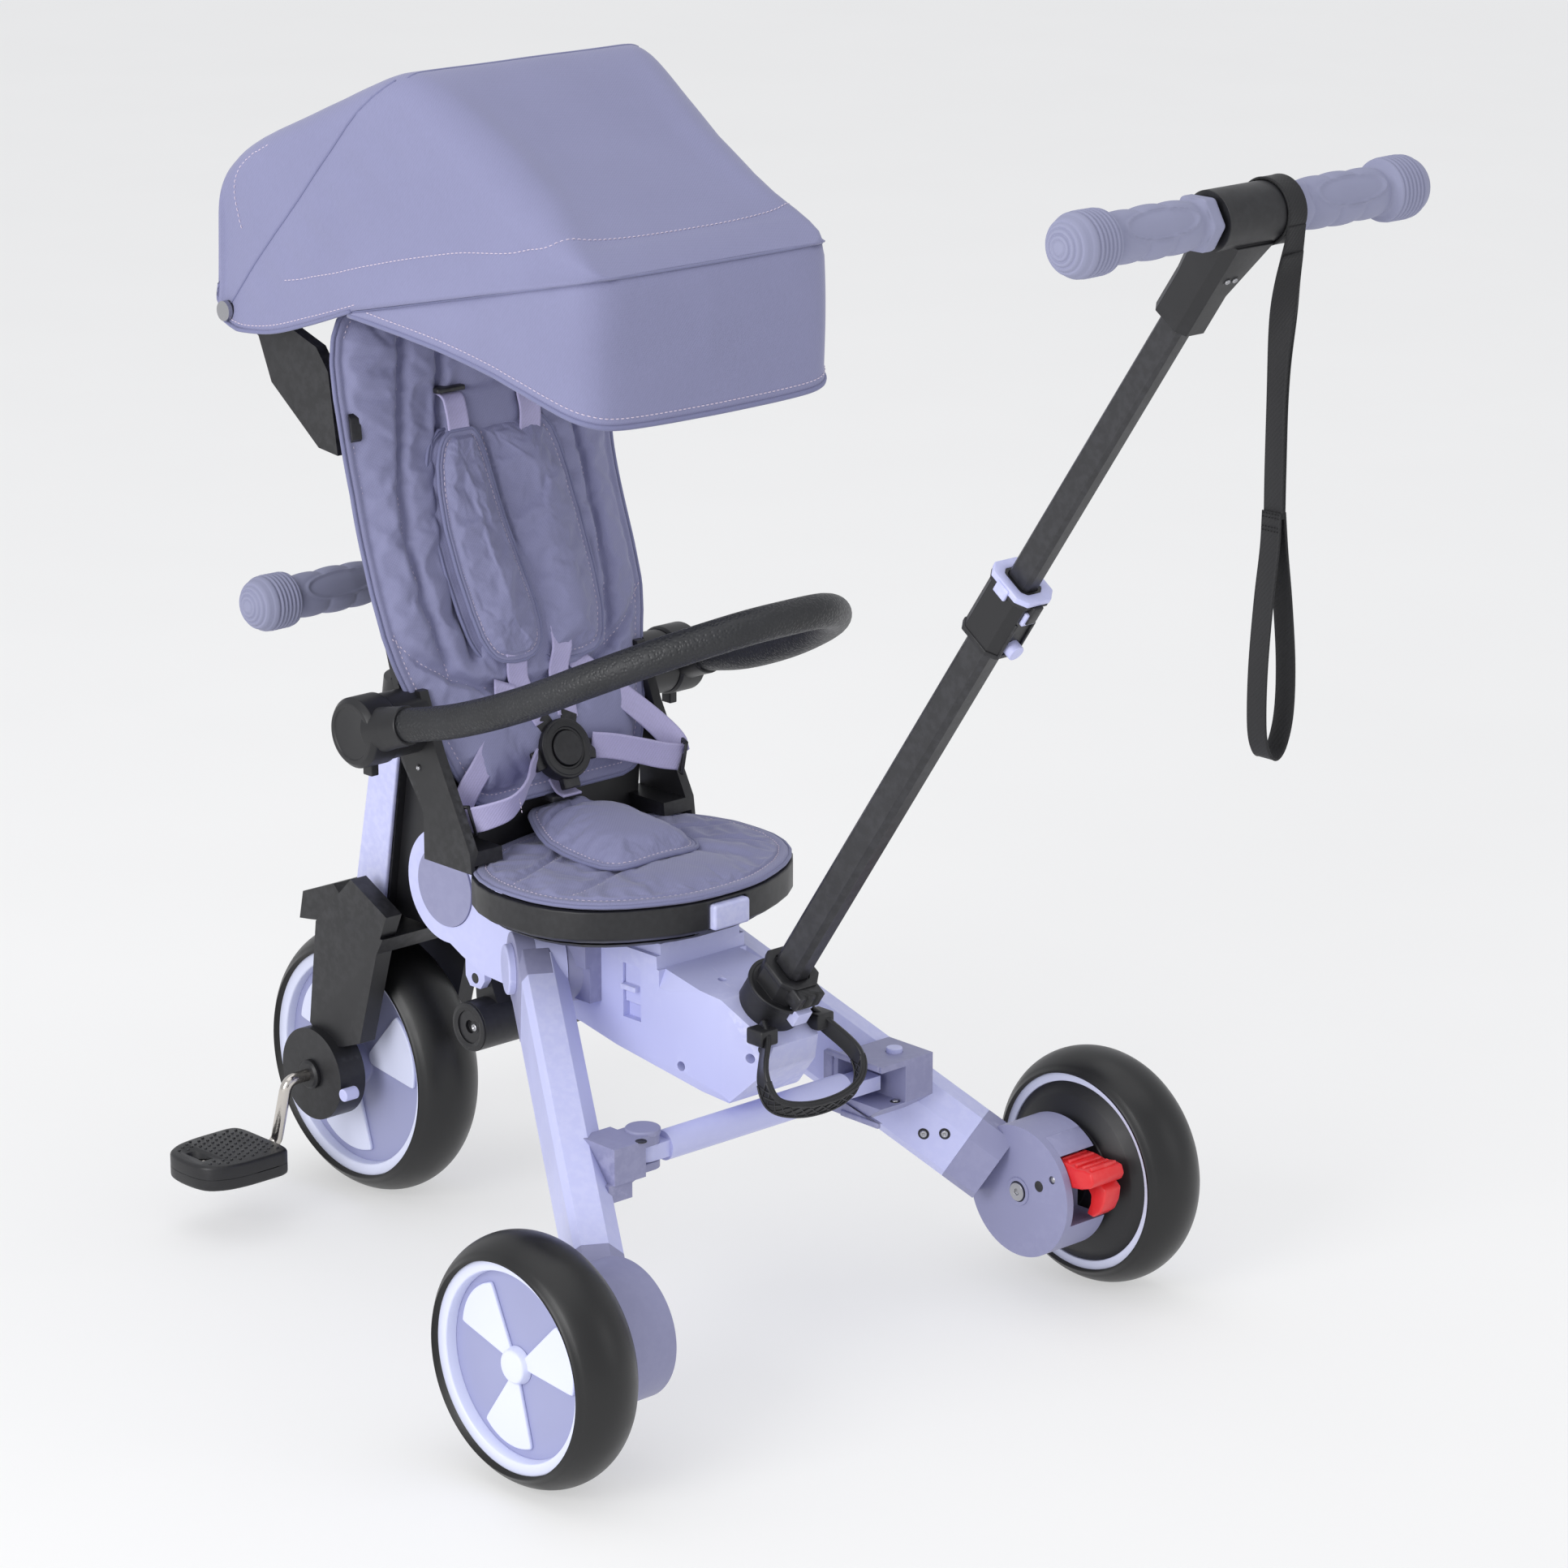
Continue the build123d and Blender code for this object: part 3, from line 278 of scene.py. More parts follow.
# ------------------------------------------------------------------ mesh helpers
def make(name, verts, faces, mat, body=None, smooth=True, mats=None, face_mats=None):
    me = bpy.data.meshes.new(name)
    me.from_pydata([tuple(v) for v in verts], [], faces)
    me.validate()
    me.update()
    o = bpy.data.objects.new(name, me)
    SC.collection.objects.link(o)
    for mm in (mats or [mat]):
        me.materials.append(M[mm] if isinstance(mm, str) else mm)
    if face_mats is not None:
        me.polygons.foreach_set("material_index", face_mats)
    me.polygons.foreach_set("use_smooth", [smooth] * len(me.polygons))
    if body:
        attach(o, body)
    return o


def apply_mods(o):
    dg = bpy.context.evaluated_depsgraph_get()
    me = bpy.data.meshes.new_from_object(o.evaluated_get(dg), preserve_all_data_layers=False, depsgraph=dg)
    old = o.data
    o.modifiers.clear()
    o.data = me
    bpy.data.meshes.remove(old)
    return o


def join(name, objs, body=None):
    """Several meshes made into one piece, keeping their materials."""
    verts, faces, fm, mats, sm = [], [], [], [], []
    for o in objs:
        if o.modifiers:
            apply_mods(o)
        base = len(verts)
        mw = o.matrix_world
        verts += [mw @ v.co for v in o.data.vertices]
        idx = []
        for mm in o.data.materials:
            if mm not in mats:
                mats.append(mm)
            idx.append(mats.index(mm))
        for p in o.data.polygons:
            faces.append([base + i for i in p.vertices])
            fm.append(idx[p.material_index] if idx else 0)
            sm.append(p.use_smooth)
    for o in objs:
        bpy.data.objects.remove(o)
    r = make(name, verts, faces, None, mats=mats, face_mats=fm)
    r.data.polygons.foreach_set("use_smooth", sm)
    if body:
        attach(r, body)
    return r


def bevel(o, w=0.9, seg=2, angle=32, wn=True):
    b = o.modifiers.new("edge", "BEVEL")
    b.width = w * 0.001
    b.segments = seg
    b.limit_method = "ANGLE"
    b.angle_limit = math.radians(angle)
    b.use_clamp_overlap = True
    b.loop_slide = True
    b.miter_outer = "MITER_ARC"
    if wn:
        n = o.modifiers.new("normals", "WEIGHTED_NORMAL")
        n.weight = 80
        n.keep_sharp = False
    return o


def node_mesh(node, name, merge=0.00002):
    """A cleaned copy of a CAD node's mesh: welded, with flat faces made whole."""
    me = NODES[node].data.copy()
    me.name = name
    bm = bmesh.new()
    bm.from_mesh(me)
    bmesh.ops.remove_doubles(bm, verts=bm.verts, dist=merge)
    bmesh.ops.dissolve_limit(bm, angle_limit=math.radians(1.2), use_dissolve_boundaries=False, verts=bm.verts, edges=bm.edges)
    bmesh.ops.recalc_face_normals(bm, faces=bm.faces)
    for f in bm.faces:
        f.smooth = True
    out = bpy.data.meshes.new(name)
    bm.to_mesh(out)
    bm.free()
    bpy.data.meshes.remove(me)
    return out


BODY_OF = {n: b for b, ns in frame["record"]["behaviour"]["bodies"].items() for n in ns}


def refine(node, mat, w=0.9, seg=2, angle=32, name=None):
    """The node's own shape with softened moulded edges."""
    name = name or node + "_moulded"
    o = bpy.data.objects.new(name, node_mesh(node, name))
    SC.collection.objects.link(o)
    o.data.materials.clear()
    o.data.materials.append(M[mat])
    bevel(o, w, seg, angle)
    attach(o, BODY_OF[node])
    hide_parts(node)
    return o


def revolve(name, prof, centre, axis="Y", seg=96, mat="black", mats=None, pm=None, closed=True, sign=1, body=None):
    """(radius, offset) profile in mm turned about an axis through centre; pm gives each profile segment's material."""
    verts, faces, fm = [], [], []
    n = len(prof)
    for i in range(seg):
        a = 2 * math.pi * i / seg
        for r, h in prof:
            if axis == "Y":
                verts.append(P(centre[0] + r * math.cos(a), centre[1] + sign * h, centre[2] + r * math.sin(a)))
            else:
                ax, e1, e2 = axis
                v = Vector(centre) + Vector(ax) * h + Vector(e1) * (r * math.cos(a)) + Vector(e2) * (r * math.sin(a))
                verts.append(P(*v))
    m = n if closed else n - 1
    for i in range(seg):
        j = (i + 1) % seg
        for k in range(m):
            l = (k + 1) % n
            f = [i * n + k, i * n + l, j * n + l, j * n + k]
            if prof[k][0] < 1e-6:
                f = [i * n + k, i * n + l, j * n + l]
            if prof[l][0] < 1e-6:
                f = [i * n + k, i * n + l, j * n + k]
            if prof[k][0] < 1e-6 and prof[l][0] < 1e-6:
                continue
            faces.append(f)
            fm.append(pm[k] if pm else 0)
    o = make(name, verts, faces, mat, mats=mats, face_mats=fm)
    bm = bmesh.new()
    bm.from_mesh(o.data)
    bmesh.ops.remove_doubles(bm, verts=bm.verts, dist=1e-6)
    bmesh.ops.recalc_face_normals(bm, faces=bm.faces)
    bm.to_mesh(o.data)
    bm.free()
    if body:
        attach(o, body)
    return o


def round_prof(pts, r, seg=3):
    """Closed or open (r, h) profile with its corners rounded by r mm (a number, or one per point)."""
    out = []
    n = len(pts)
    for i in range(n):
        p = Vector(pts[i])
        a, b = Vector(pts[i - 1]), Vector(pts[(i + 1) % n])
        rr = r[i] if isinstance(r, (list, tuple)) else r
        u, v = (a - p), (b - p)
        lu, lv = u.length, v.length
        if rr <= 0 or lu < 1e-6 or lv < 1e-6 or pts[i][0] < 0.3:
            out.append(tuple(p))
            continue
        u.normalize()
        v.normalize()
        c = max(-0.999, min(0.999, u.dot(v)))
        half = math.acos(c) / 2
        t = min(rr / math.tan(half), lu * 0.45, lv * 0.45)
        for k in range(seg + 1):
            w = k / seg
            q = (p + u * t) * (1 - w) ** 2 + p * 2 * w * (1 - w) + (p + v * t) * w ** 2
            out.append((q.x, q.y))
    return out


def catmull(pts, n=8, closed=False):
    """Smooth points through pts (tuples of any length)."""
    pts = [np.array(p, float) for p in pts]
    out = []
    m = len(pts)
    rngn = range(m if closed else m - 1)
    for i in rngn:
        p0 = pts[(i - 1) % m] if closed or i > 0 else pts[0] * 2 - pts[1]
        p1, p2 = pts[i], pts[(i + 1) % m]
        p3 = pts[(i + 2) % m] if closed or i + 2 < m else pts[-1] * 2 - pts[-2]
        for k in range(n):
            t = k / n
            out.append(0.5 * (2 * p1 + (p2 - p0) * t + (2 * p0 - 5 * p1 + 4 * p2 - p3) * t * t + (3 * p1 - p0 - 3 * p2 + p3) * t ** 3))
    if not closed:
        out.append(pts[-1])
    return out


def tube(name, pts, r, mat, body=None, seg=12, closed=False, caps=True, squash=None):
    """Round tube through points in mm (already smooth), radius in mm (number or list)."""
    pts = [Vector(p) for p in pts]
    n = len(pts)
    tang = []
    for i in range(n):
        a = pts[(i - 1) % n] if closed or i > 0 else pts[i]
        b = pts[(i + 1) % n] if closed or i < n - 1 else pts[i]
        tang.append((b - a).normalized())
    up = Vector((0, 0, 1)) if abs(tang[0].z) < 0.9 else Vector((1, 0, 0))
    nrm = (up - tang[0] * up.dot(tang[0])).normalized()
    verts, faces = [], []
    for i in range(n):
        nrm = (nrm - tang[i] * nrm.dot(tang[i])).normalized()
        bi = tang[i].cross(nrm)
        rr = r[i] if isinstance(r, (list, tuple)) else r
        for k in range(seg):
            a = 2 * math.pi * k / seg
            verts.append(P(*(pts[i] + nrm * (rr * math.cos(a)) + bi * (rr * math.sin(a)))))
    m = n if closed else n - 1
    for i in range(m):
        j = (i + 1) % n
        for k in range(seg):
            l = (k + 1) % seg
            faces.append([i * seg + k, i * seg + l, j * seg + l, j * seg + k])
    if caps and not closed:
        faces.append(list(range(seg))[::-1])
        faces.append([(n - 1) * seg + k for k in range(seg)])
    return make(name, verts, faces, mat, body)


def ribbon(name, pts, width, thick, mat, body=None, wdir=None, n=6, lip=0.25, closed=False):
    """Flat webbing through points (x, y, z[, wx, wy, wz]) in mm: a rounded flat section with a slight selvedge."""
    sm = catmull(pts, n, closed)
    q = [Vector(p[:3]) for p in sm]
    N = len(q)
    verts, faces = [], []
    half = width / 2
    sec = [(-half, 0.0), (-half + 0.7, thick * 0.5 + lip), (-half + 2.0, thick * 0.5), (0, thick * 0.5), (half - 2.0, thick * 0.5),
           (half - 0.7, thick * 0.5 + lip), (half, 0.0), (half - 0.7, -thick * 0.5 - lip), (half - 2.0, -thick * 0.5), (0, -thick * 0.5),
           (-half + 2.0, -thick * 0.5), (-half + 0.7, -thick * 0.5 - lip)]
    S = len(sec)
    for i in range(N):
        a = q[(i - 1) % N] if closed or i > 0 else q[i]
        b = q[(i + 1) % N] if closed or i < N - 1 else q[i]
        t = (b - a).normalized()
        w = Vector(sm[i][3:6]) if len(sm[i]) >= 6 else Vector(wdir)
        w = (w - t * w.dot(t)).normalized()
        nn = t.cross(w)
        for u, v in sec:
            verts.append(P(*(q[i] + w * u + nn * v)))
    m = N if closed else N - 1
    for i in range(m):
        j = (i + 1) % N
        for k in range(S):
            l = (k + 1) % S
            faces.append([i * S + k, i * S + l, j * S + l, j * S + k])
    if not closed:
        faces.append(list(range(S))[::-1])
        faces.append([(N - 1) * S + k for k in range(S)])
    return make(name, verts, faces, mat, body)


def stitches(name, pts, mat, body, normals=None, length=3.2, gap=1.3, r=0.45, lift=0.2, offsets=None):
    """A row of separate thread stitches along points in mm."""
    pts = [Vector(p) for p in pts]
    cum = [0.0]
    for a, b in zip(pts[:-1], pts[1:]):
        cum.append(cum[-1] + (b - a).length)

    def at(s):
        import bisect
        i = max(0, min(len(pts) - 2, bisect.bisect_right(cum, s) - 1))
        d = cum[i + 1] - cum[i]
        w = 0 if d < 1e-9 else (s - cum[i]) / d
        p = pts[i].lerp(pts[i + 1], w)
        nn = normals[i].lerp(normals[i + 1], w).normalized() if normals else Vector((0, 0, 1))
        return p, nn
    verts, faces = [], []
    s = 0.4
    while s + length < cum[-1]:
        a, na = at(s)
        b, nb = at(s + length)
        c, nc = at(s + length / 2)
        t = (b - a).normalized()
        side = t.cross(nc).normalized()
        base = len(verts)
        rings = [(a, nc, 0.35, -0.25), (a.lerp(c, 0.5), nc, 1.0, 0.12), (c, nc, 1.0, 0.22), (c.lerp(b, 0.5), nc, 1.0, 0.12), (b, nc, 0.35, -0.25)]
        for p, nn, k, h in rings:
            for e in range(6):
                an = math.pi * 2 * e / 6
                verts.append(P(*(p + side * (r * k * math.cos(an)) + nn * (lift + h + r * k * 0.8 * math.sin(an)))))
        for i in range(4):
            for e in range(6):
                f = (e + 1) % 6
                faces.append([base + i * 6 + e, base + i * 6 + f, base + (i + 1) * 6 + f, base + (i + 1) * 6 + e])
        faces.append([base + e for e in range(6)][::-1])
        faces.append([base + 24 + e for e in range(6)])
        s += length + gap
    if not verts:
        return None
    return make(name, verts, faces, mat, body)


# ------------------------------------------------------------------ camera, light, floor
cam_d = bpy.data.cameras.new("camera")
cam = bpy.data.objects.new("camera", cam_d)
SC.collection.objects.link(cam)
cam.location = P(-2504.10, 2361.24, 1464.07)
cam.rotation_mode = "QUATERNION"
cam.rotation_quaternion = (P(-9.29, 53.13, 453.12) - cam.location).to_track_quat("-Z", "Y")
cam_d.lens, cam_d.sensor_width = 119.24, 36.0
cam_d.clip_start, cam_d.clip_end = 0.05, 60.0
SC.camera = cam
SC.view_settings.view_transform = "Standard"

world = bpy.data.worlds.new("studio")
SC.world = world
world.use_nodes = True
world.node_tree.nodes["Background"].inputs[0].default_value = (0.96, 0.97, 1.0, 1)
world.node_tree.nodes["Background"].inputs[1].default_value = 0.70


def area(name, loc, target, size, power, col=(1, 1, 1)):
    d = bpy.data.lights.new(name, "AREA")
    d.shape, d.size, d.size_y = "RECTANGLE", size[0], size[1]
    d.energy, d.color = power, col
    o = bpy.data.objects.new(name, d)
    SC.collection.objects.link(o)
    o.location = loc
    o.rotation_mode = "QUATERNION"
    o.rotation_quaternion = (Vector(target) - Vector(loc)).to_track_quat("-Z", "Y")
    return o


area("softbox_top", (0.0, 0.3, 4.2), (0, 0, 0.3), (4.4, 4.4), 38)
area("softbox_left", (-0.5, 3.3, 1.5), (0, 0, 0.5), (1.7, 2.3), 64)
area("softbox_back", (-3.4, -1.4, 1.6), (0, 0, 0.45), (1.2, 2.0), 8)

fv = [(-14, -14, -0.0004), (14, -14, -0.0004), (14, 14, -0.0004), (-14, 14, -0.0004)]
fm_, fnt, fb, fobj = new_mat("floor_paper")
nt_c = ramp(fnt, noise(fnt, fobj, 3.0, 2.0), [(0.3, (0.455, 0.455, 0.455, 1)), (0.7, (0.465, 0.465, 0.465, 1))])
fnt.links.new(nt_c, fb.inputs["Base Color"])
fb.inputs["Roughness"].default_value = 0.9
fb.inputs["Emission Color"].default_value = (1, 1, 1, 1)
fb.inputs["Emission Strength"].default_value = 0.47
fb.inputs["Specular IOR Level"].default_value = 0.1
floor = make("floor", fv, [[0, 1, 2, 3]], fm_)

# ------------------------------------------------------------------ hard parts
HARD = {
    "body_shell_left": ("lilac", 1.4), "body_shell_right": ("lilac", 1.4), "joint_caps": ("grey", 0.9), "leg_brackets": ("grey", 1.2),
    "fold_slider": ("lilac", 0.6), "footrest": ("black", 1.2), "leg_beam_left": ("lilac", 1.6), "leg_beam_right": ("lilac", 1.6),
    "wheel_housing_left": ("grey", 2.0), "wheel_housing_right": ("grey", 1.6), "rear_axle_left": ("steel", 0.4), "rear_axle_right": ("steel", 0.4),
    "crossbar_bracket": ("grey", 1.1), "latch_bracket": ("grey", 1.1), "crossbar": ("lilac", 0.8), "latch_button": ("lilac", 0.9),
    "brake_pedal": ("red", 1.0), "front_frame": ("black", 1.4), "front_frame_trim": ("lilac", 1.2), "fork": ("black", 1.4),
    "steering_column": ("blacktube", 0.6), "crank": ("chrome", 0.3), "clutch_button": ("lilac", 0.8),
    "seat_base": ("black", 1.6), "seat_button": ("lilac", 2.4), "seat_back": ("black", 1.2), "buckle": ("black", 1.2), "buckle_button": ("black", 0.8),
    "canopy_arms": ("black", 1.4), "canopy_bows": ("steel", 0.6), "pushbar_socket": ("black", 1.2), "socket_button": ("lilac", 0.9),
    "pushbar_lower_tube": ("blacktube", 0.5), "pushbar_upper_tube": ("blacktube", 0.5), "pushbar_clamp": ("black", 1.0), "clamp_button": ("lilac", 0.9),
    "pushbar_head": ("black", 1.2), "pins_and_screws": ("steel", 0.3), "bumper_lever_left": ("black", 0.9), "bumper_lever_right": ("black", 0.9),
    "bumper_bar": ("black", 1.2), "brake_cable": ("black", 0.2), "pedal_left": ("black", 1.5), "pedal_right": ("black", 1.5),
}
for _n, (_m, _w) in HARD.items():
    refine(_n, _m, _w)

# ------------------------------------------------------------------ tyres and wheels
def arc_pts(cx, cy, r, a0, a1, n):
    return [(cx + r * math.cos(math.radians(a0 + (a1 - a0) * i / n)), cy + r * math.sin(math.radians(a0 + (a1 - a0) * i / n))) for i in range(n + 1)]


def tyre(node, centre, core, sec, ring, ymid, sign, body):
    half = math.sqrt(sec ** 2 - (ring - core) ** 2)
    a = math.degrees(math.asin(half / sec))
    prof = arc_pts(core, ymid, sec, -a, a, 40)
    # a shallow moulding groove near each shoulder, and a lip where the tyre meets the wheel
    out = []
    for r, h in prof:
        t = math.degrees(math.atan2(h - ymid, r - core))
        k = 0.35 * math.exp(-((abs(t) - a + 8) / 2.2) ** 2)
        out.append((r - k * math.cos(math.radians(t)), h - k * math.sin(math.radians(t))))
    out[-1] = (ring, out[-1][1])
    out[0] = (ring, out[0][1])
    o = revolve(node + "_moulded", out, centre, seg=144, mat="tyre", sign=sign, body=body)
    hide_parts(node)
    return o


def fix_normals(o):
    bm = bmesh.new()
    bm.from_mesh(o.data)
    bmesh.ops.recalc_face_normals(bm, faces=bm.faces)
    bm.to_mesh(o.data)
    bm.free()
    return o


def fan_mesh(name, centre, ypl, thick, r0, r1, start, sign, h0=13, h1=25, seg=14):
    """Three fan-shaped spokes with rounded corners."""
    objs = []
    for i in range(3):
        a = math.radians(start + 120 * i)
        loop = []
        pts = [(r0, -math.radians(h0))] + [(r1 + 2.5 * (1 - (2 * k / seg - 1) ** 2), math.radians(h1) * (2 * k / seg - 1)) for k in range(seg + 1)] + [(r0, math.radians(h0))]
        xy = [(r * math.cos(a + t), r * math.sin(a + t)) for r, t in pts]
        # round the outer corners
        loop = []
        n = len(xy)
        for k in range(n):
            p, q, w = Vector(xy[k]), Vector(xy[k - 1]), Vector(xy[(k + 1) % n])
            u, v = (q - p), (w - p)
            ang = u.angle(v)
            if ang < math.radians(150):
                tu, tv = min(5.0, u.length * 0.36), min(5.0, v.length * 0.36)
                u.normalize()
                v.normalize()
                A, B = p + u * tu, p + v * tv
                for s_ in range(5):
                    z = s_ / 4
                    loop.append(A * (1 - z) ** 2 + p * 2 * z * (1 - z) + B * z * z)
            else:
                loop.append(p)
        N = len(loop)
        vs = [P(centre[0] + p.x, centre[1] + sign * (ypl + dy), centre[2] + p.y) for dy in (0.0, thick) for p in loop]
        fs = [list(range(N))[::-1], list(range(N, 2 * N))] + [[k, (k + 1) % N, N + (k + 1) % N, N + k] for k in range(N)]
        o = fix_normals(make(name + str(i), vs, fs, "fan"))
        bevel(o, 1.1, 3, 40)
        apply_mods(o)
        # the broad planar faces stay flat-shaded, so that only the moulded edge is soft
        for f in o.data.polygons:
            f.use_smooth = f.area < 2e-4
        objs.append(o)
    return objs




for tag, s in (("left", 1), ("right", -1)):
    C = (0, 0, 90)
    tyre("tyre_rear_" + tag, C, 56, 34.0, 75.7, 275.1, s, tag + "_wheel")
    ringp = round_prof([(66.2, 288.2), (67.5, 296.6), (75.6, 297.5), (75.6, 251.4), (68.6, 251.4), (68.6, 256.0), (72.2, 258.0), (71.8, 284.8)], [0.8, 1.6, 1.2, 1.0, 1.0, 0.4, 0.4, 0.4])
    ring = revolve("r", ringp, C, seg=144, mat="fan", sign=s)
    discp = round_prof([(12.5, 288.0), (66.4, 288.0), (71.9, 288.6), (71.9, 284.9), (14, 284.9), (14, 241), (4.2, 241), (4.2, 289)], [0.3, 0.3, 0.3, 0.3, 2, 0.5, 0.3, 0.3])
    disc = revolve("d", discp, C, seg=96, mat="disc", sign=s)
    hubp = round_prof([(0, 296.0), (11.6, 295.0), (13.6, 288.2), (0, 288.2)], [0, 2.2, 0.5, 0])
    hub = revolve("h", hubp, C, seg=64, mat="fan", sign=s)
    fl = fan_mesh("f", C, 287.9, 3.2, 9.5, 58.5, 40, s, 22, 24.5)
    o = join("wheel_centre_rear_" + tag, [ring, disc, hub] + fl, tag + "_wheel")
    fix_normals(o)
    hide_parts("rim_rear_" + tag)
    # black inner cover with turned steps
    dp = [(68.5, 255.4), (68.5, 252.6), (65, 250.0), (61.0, 247.0), (59.6, 246.2), (52, 242.6), (44, 240.2), (43.2, 239.4), (34, 237.4), (25, 236.4), (24, 235.6), (4.6, 235.2), (4.6, 237.8),
          (24, 238.2), (44, 243.0), (60, 249.0)]
    o = revolve("inner_cover_" + tag, dp, C, seg=128, mat="black", sign=s, body=tag + "_wheel")
    bevel(o, 0.5, 2, 20)

FC = (518.2, 0, 106.4)
tyre("tyre_front", FC, 71, 35.4, 90.3, 0, 1, "front_wheel")
objs = []
for s in (1, -1):
    ringp = round_prof([(80.6, 16.2), (81.4, 23.8), (90.2, 24.6), (90.2, 0), (84, 0), (84, 12)], [0.8, 1.6, 1.2, 0, 0, 0.4])
    objs.append(revolve("r", ringp, FC, seg=144, mat="fan", sign=s))
    discp = round_prof([(17, 16), (80.8, 16.0), (84, 16.6), (84, 12), (20, 12), (20, 0.2), (6.2, 0.2), (6.2, 32.8), (16, 32.8), (17, 30)], [2, .3, .3, .3, 1, 0, 0, 0.4, 1.2, 0.4])
    objs.append(revolve("d", discp, FC, seg=112, mat="disc", sign=s))
    objs += fan_mesh("f", FC, 15.9, 3.4, 19, 71, 40, s, 13, 24)
o = join("wheel_centre_front", objs, "front_wheel")
fix_normals(o)
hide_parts("rim_front")


# ------------------------------------------------------------------ grips
def grip_mesh(name, cx, cz, y_in, y_ball, sides, body, node, face_angle):
    """Rubber grips: hexagonal collar, scalloped body with an oval panel on two sides, ringed ball end."""
    objs = []
    for s in sides:
        NY, NA = 150, 96
        y1 = y_ball + 21
        verts, faces = [], []
        base_keys = [(y_in, 17.2), (y_in + 2, 17.9), (y_in + 9.5, 17.9), (y_in + 12, 15.6), (y_in + 16, 15.4), (y_in + 40, 16.6), (y_in + 62, 16.2),
                     (y_ball - 26, 15.6), (y_ball - 20, 15.0), (y_ball - 17.6, 16.2), (y_ball - 15.4, 19.8), (y_ball - 13.0, 20.7), (y_ball + 2, 20.9),
                     (y_ball + 7, 20.4), (y_ball + 12, 18.6), (y_ball + 16, 15.6), (y_ball + 19, 11.5), (y_ball + 20.6, 6.0), (y_ball + 21, 0.01)]
        ys = np.concatenate([np.linspace(y_in, y_in + 12, 16), np.linspace(y_in + 12.6, y_ball - 18, 64), np.linspace(y_ball - 17.6, y_ball + 6, 62), y_ball + 6 + 15 * np.sin(np.linspace(0.03, math.pi / 2, 74))])
        ky, kr = [k[0] for k in base_keys], [k[1] for k in base_keys]
        mid = (y_in + 14 + y_ball - 20) / 2
        hl = (y_ball - 20 - y_in - 14) / 2
        rows = []
        for yi, y in enumerate(ys):
            r = float(np.interp(y, ky, kr))
            row = []
            for k in range(NA):
                a = 2 * math.pi * k / NA
                rr = r
                if y < y_in + 10.5:      # hexagonal collar
                    m = (a % (math.pi / 3)) - math.pi / 6
                    rr = min(r + 0.8, (r - 1.2) / max(0.6, math.cos(m)))
                elif y < y_ball - 19:
                    da = min(abs((a - face_angle + math.pi) % (2 * math.pi) - math.pi), abs((a - face_angle - math.pi + math.pi) % (2 * math.pi) - math.pi))
                    u, v = (y - mid) / (hl * 0.94), da * r / 10.5
                    e = math.sqrt(u * u + v * v)
                    # raised rim of the oval panel, panel sunk inside
                    rr += 1.25 * math.exp(-((e - 0.92) / 0.055) ** 2) - 0.35 * (1 / (1 + math.exp((e - 0.86) / 0.02)))
                    # scallops above and below the panel
                    if e > 1.0:
                        w = min(1.0, (e - 1.0) / 0.18)
                        sc = abs(math.sin(math.pi * (y - y_in - 14) / 24.2))
                        rr += w * (2.1 * sc ** 0.45 - 1.4)
                elif y > y_ball - 14.8:   # rings on the ball end
                    # distance along the section from its edge
                    q = (y - (y_ball - 14.8))
                    if y <= y_ball + 6:
                        rr += 0.0 if q < 1 else -1.15 * (0.5 - 0.5 * math.cos(2 * math.pi * q / 3.5)) ** 2
                row.append((rr, a))
            rows.append((y, row))
        # the domed end gets rings too, cut along y by radius
        out = []
        for y, row in rows:
            ring = []
            for rr, a in row:
                yy = y
                if y > y_ball + 6 and rr > 3:
                    yy = y - 1.15 * (0.5 - 0.5 * math.cos(2 * math.pi * rr / 3.4)) ** 2
                ring.append((rr, yy, a))
            out.append(ring)
        for ring in out:
            for rr, yy, a in ring:
                verts.append(P(cx + rr * math.cos(a), s * yy, cz + rr * math.sin(a)))
        n = len(out)
        for i in range(n - 1):
            for k in range(NA):
                l = (k + 1) % NA
                faces.append([i * NA + k, i * NA + l, (i + 1) * NA + l, (i + 1) * NA + k])
        # inner bore so the collar closes on the tube
        b0 = len(verts)
        for yy in (y_in, y_in + 4):
            for k in range(NA):
                a = 2 * math.pi * k / NA
                verts.append(P(cx + 10.55 * math.cos(a), s * yy, cz + 10.55 * math.sin(a)))
        for k in range(NA):
            l = (k + 1) % NA
            faces.append([k, b0 + k, b0 + l, l])
            faces.append([b0 + k, b0 + NA + k, b0 + NA + l, b0 + l])
        objs.append(fix_normals(make("g", verts, faces, "grip")))
    o = join(name, objs, body)
    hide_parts(node)
    return o


FA = math.radians(150)
grip_mesh("handlebar_grips_ringed", 447, 510, 36, 142.7, (1, -1), "steering", "handlebar_grips", FA)
grip_mesh("push_handle_grips_ringed", -369, 887, 36, 142.7, (1, -1), "push_handle", "pushbar_grips", FA)
# ------------------------------------------------------------------ canopy hood
def lerp_tab(tab, x):
    return float(np.interp(x, [t[0] for t in tab], [t[1] for t in tab]))


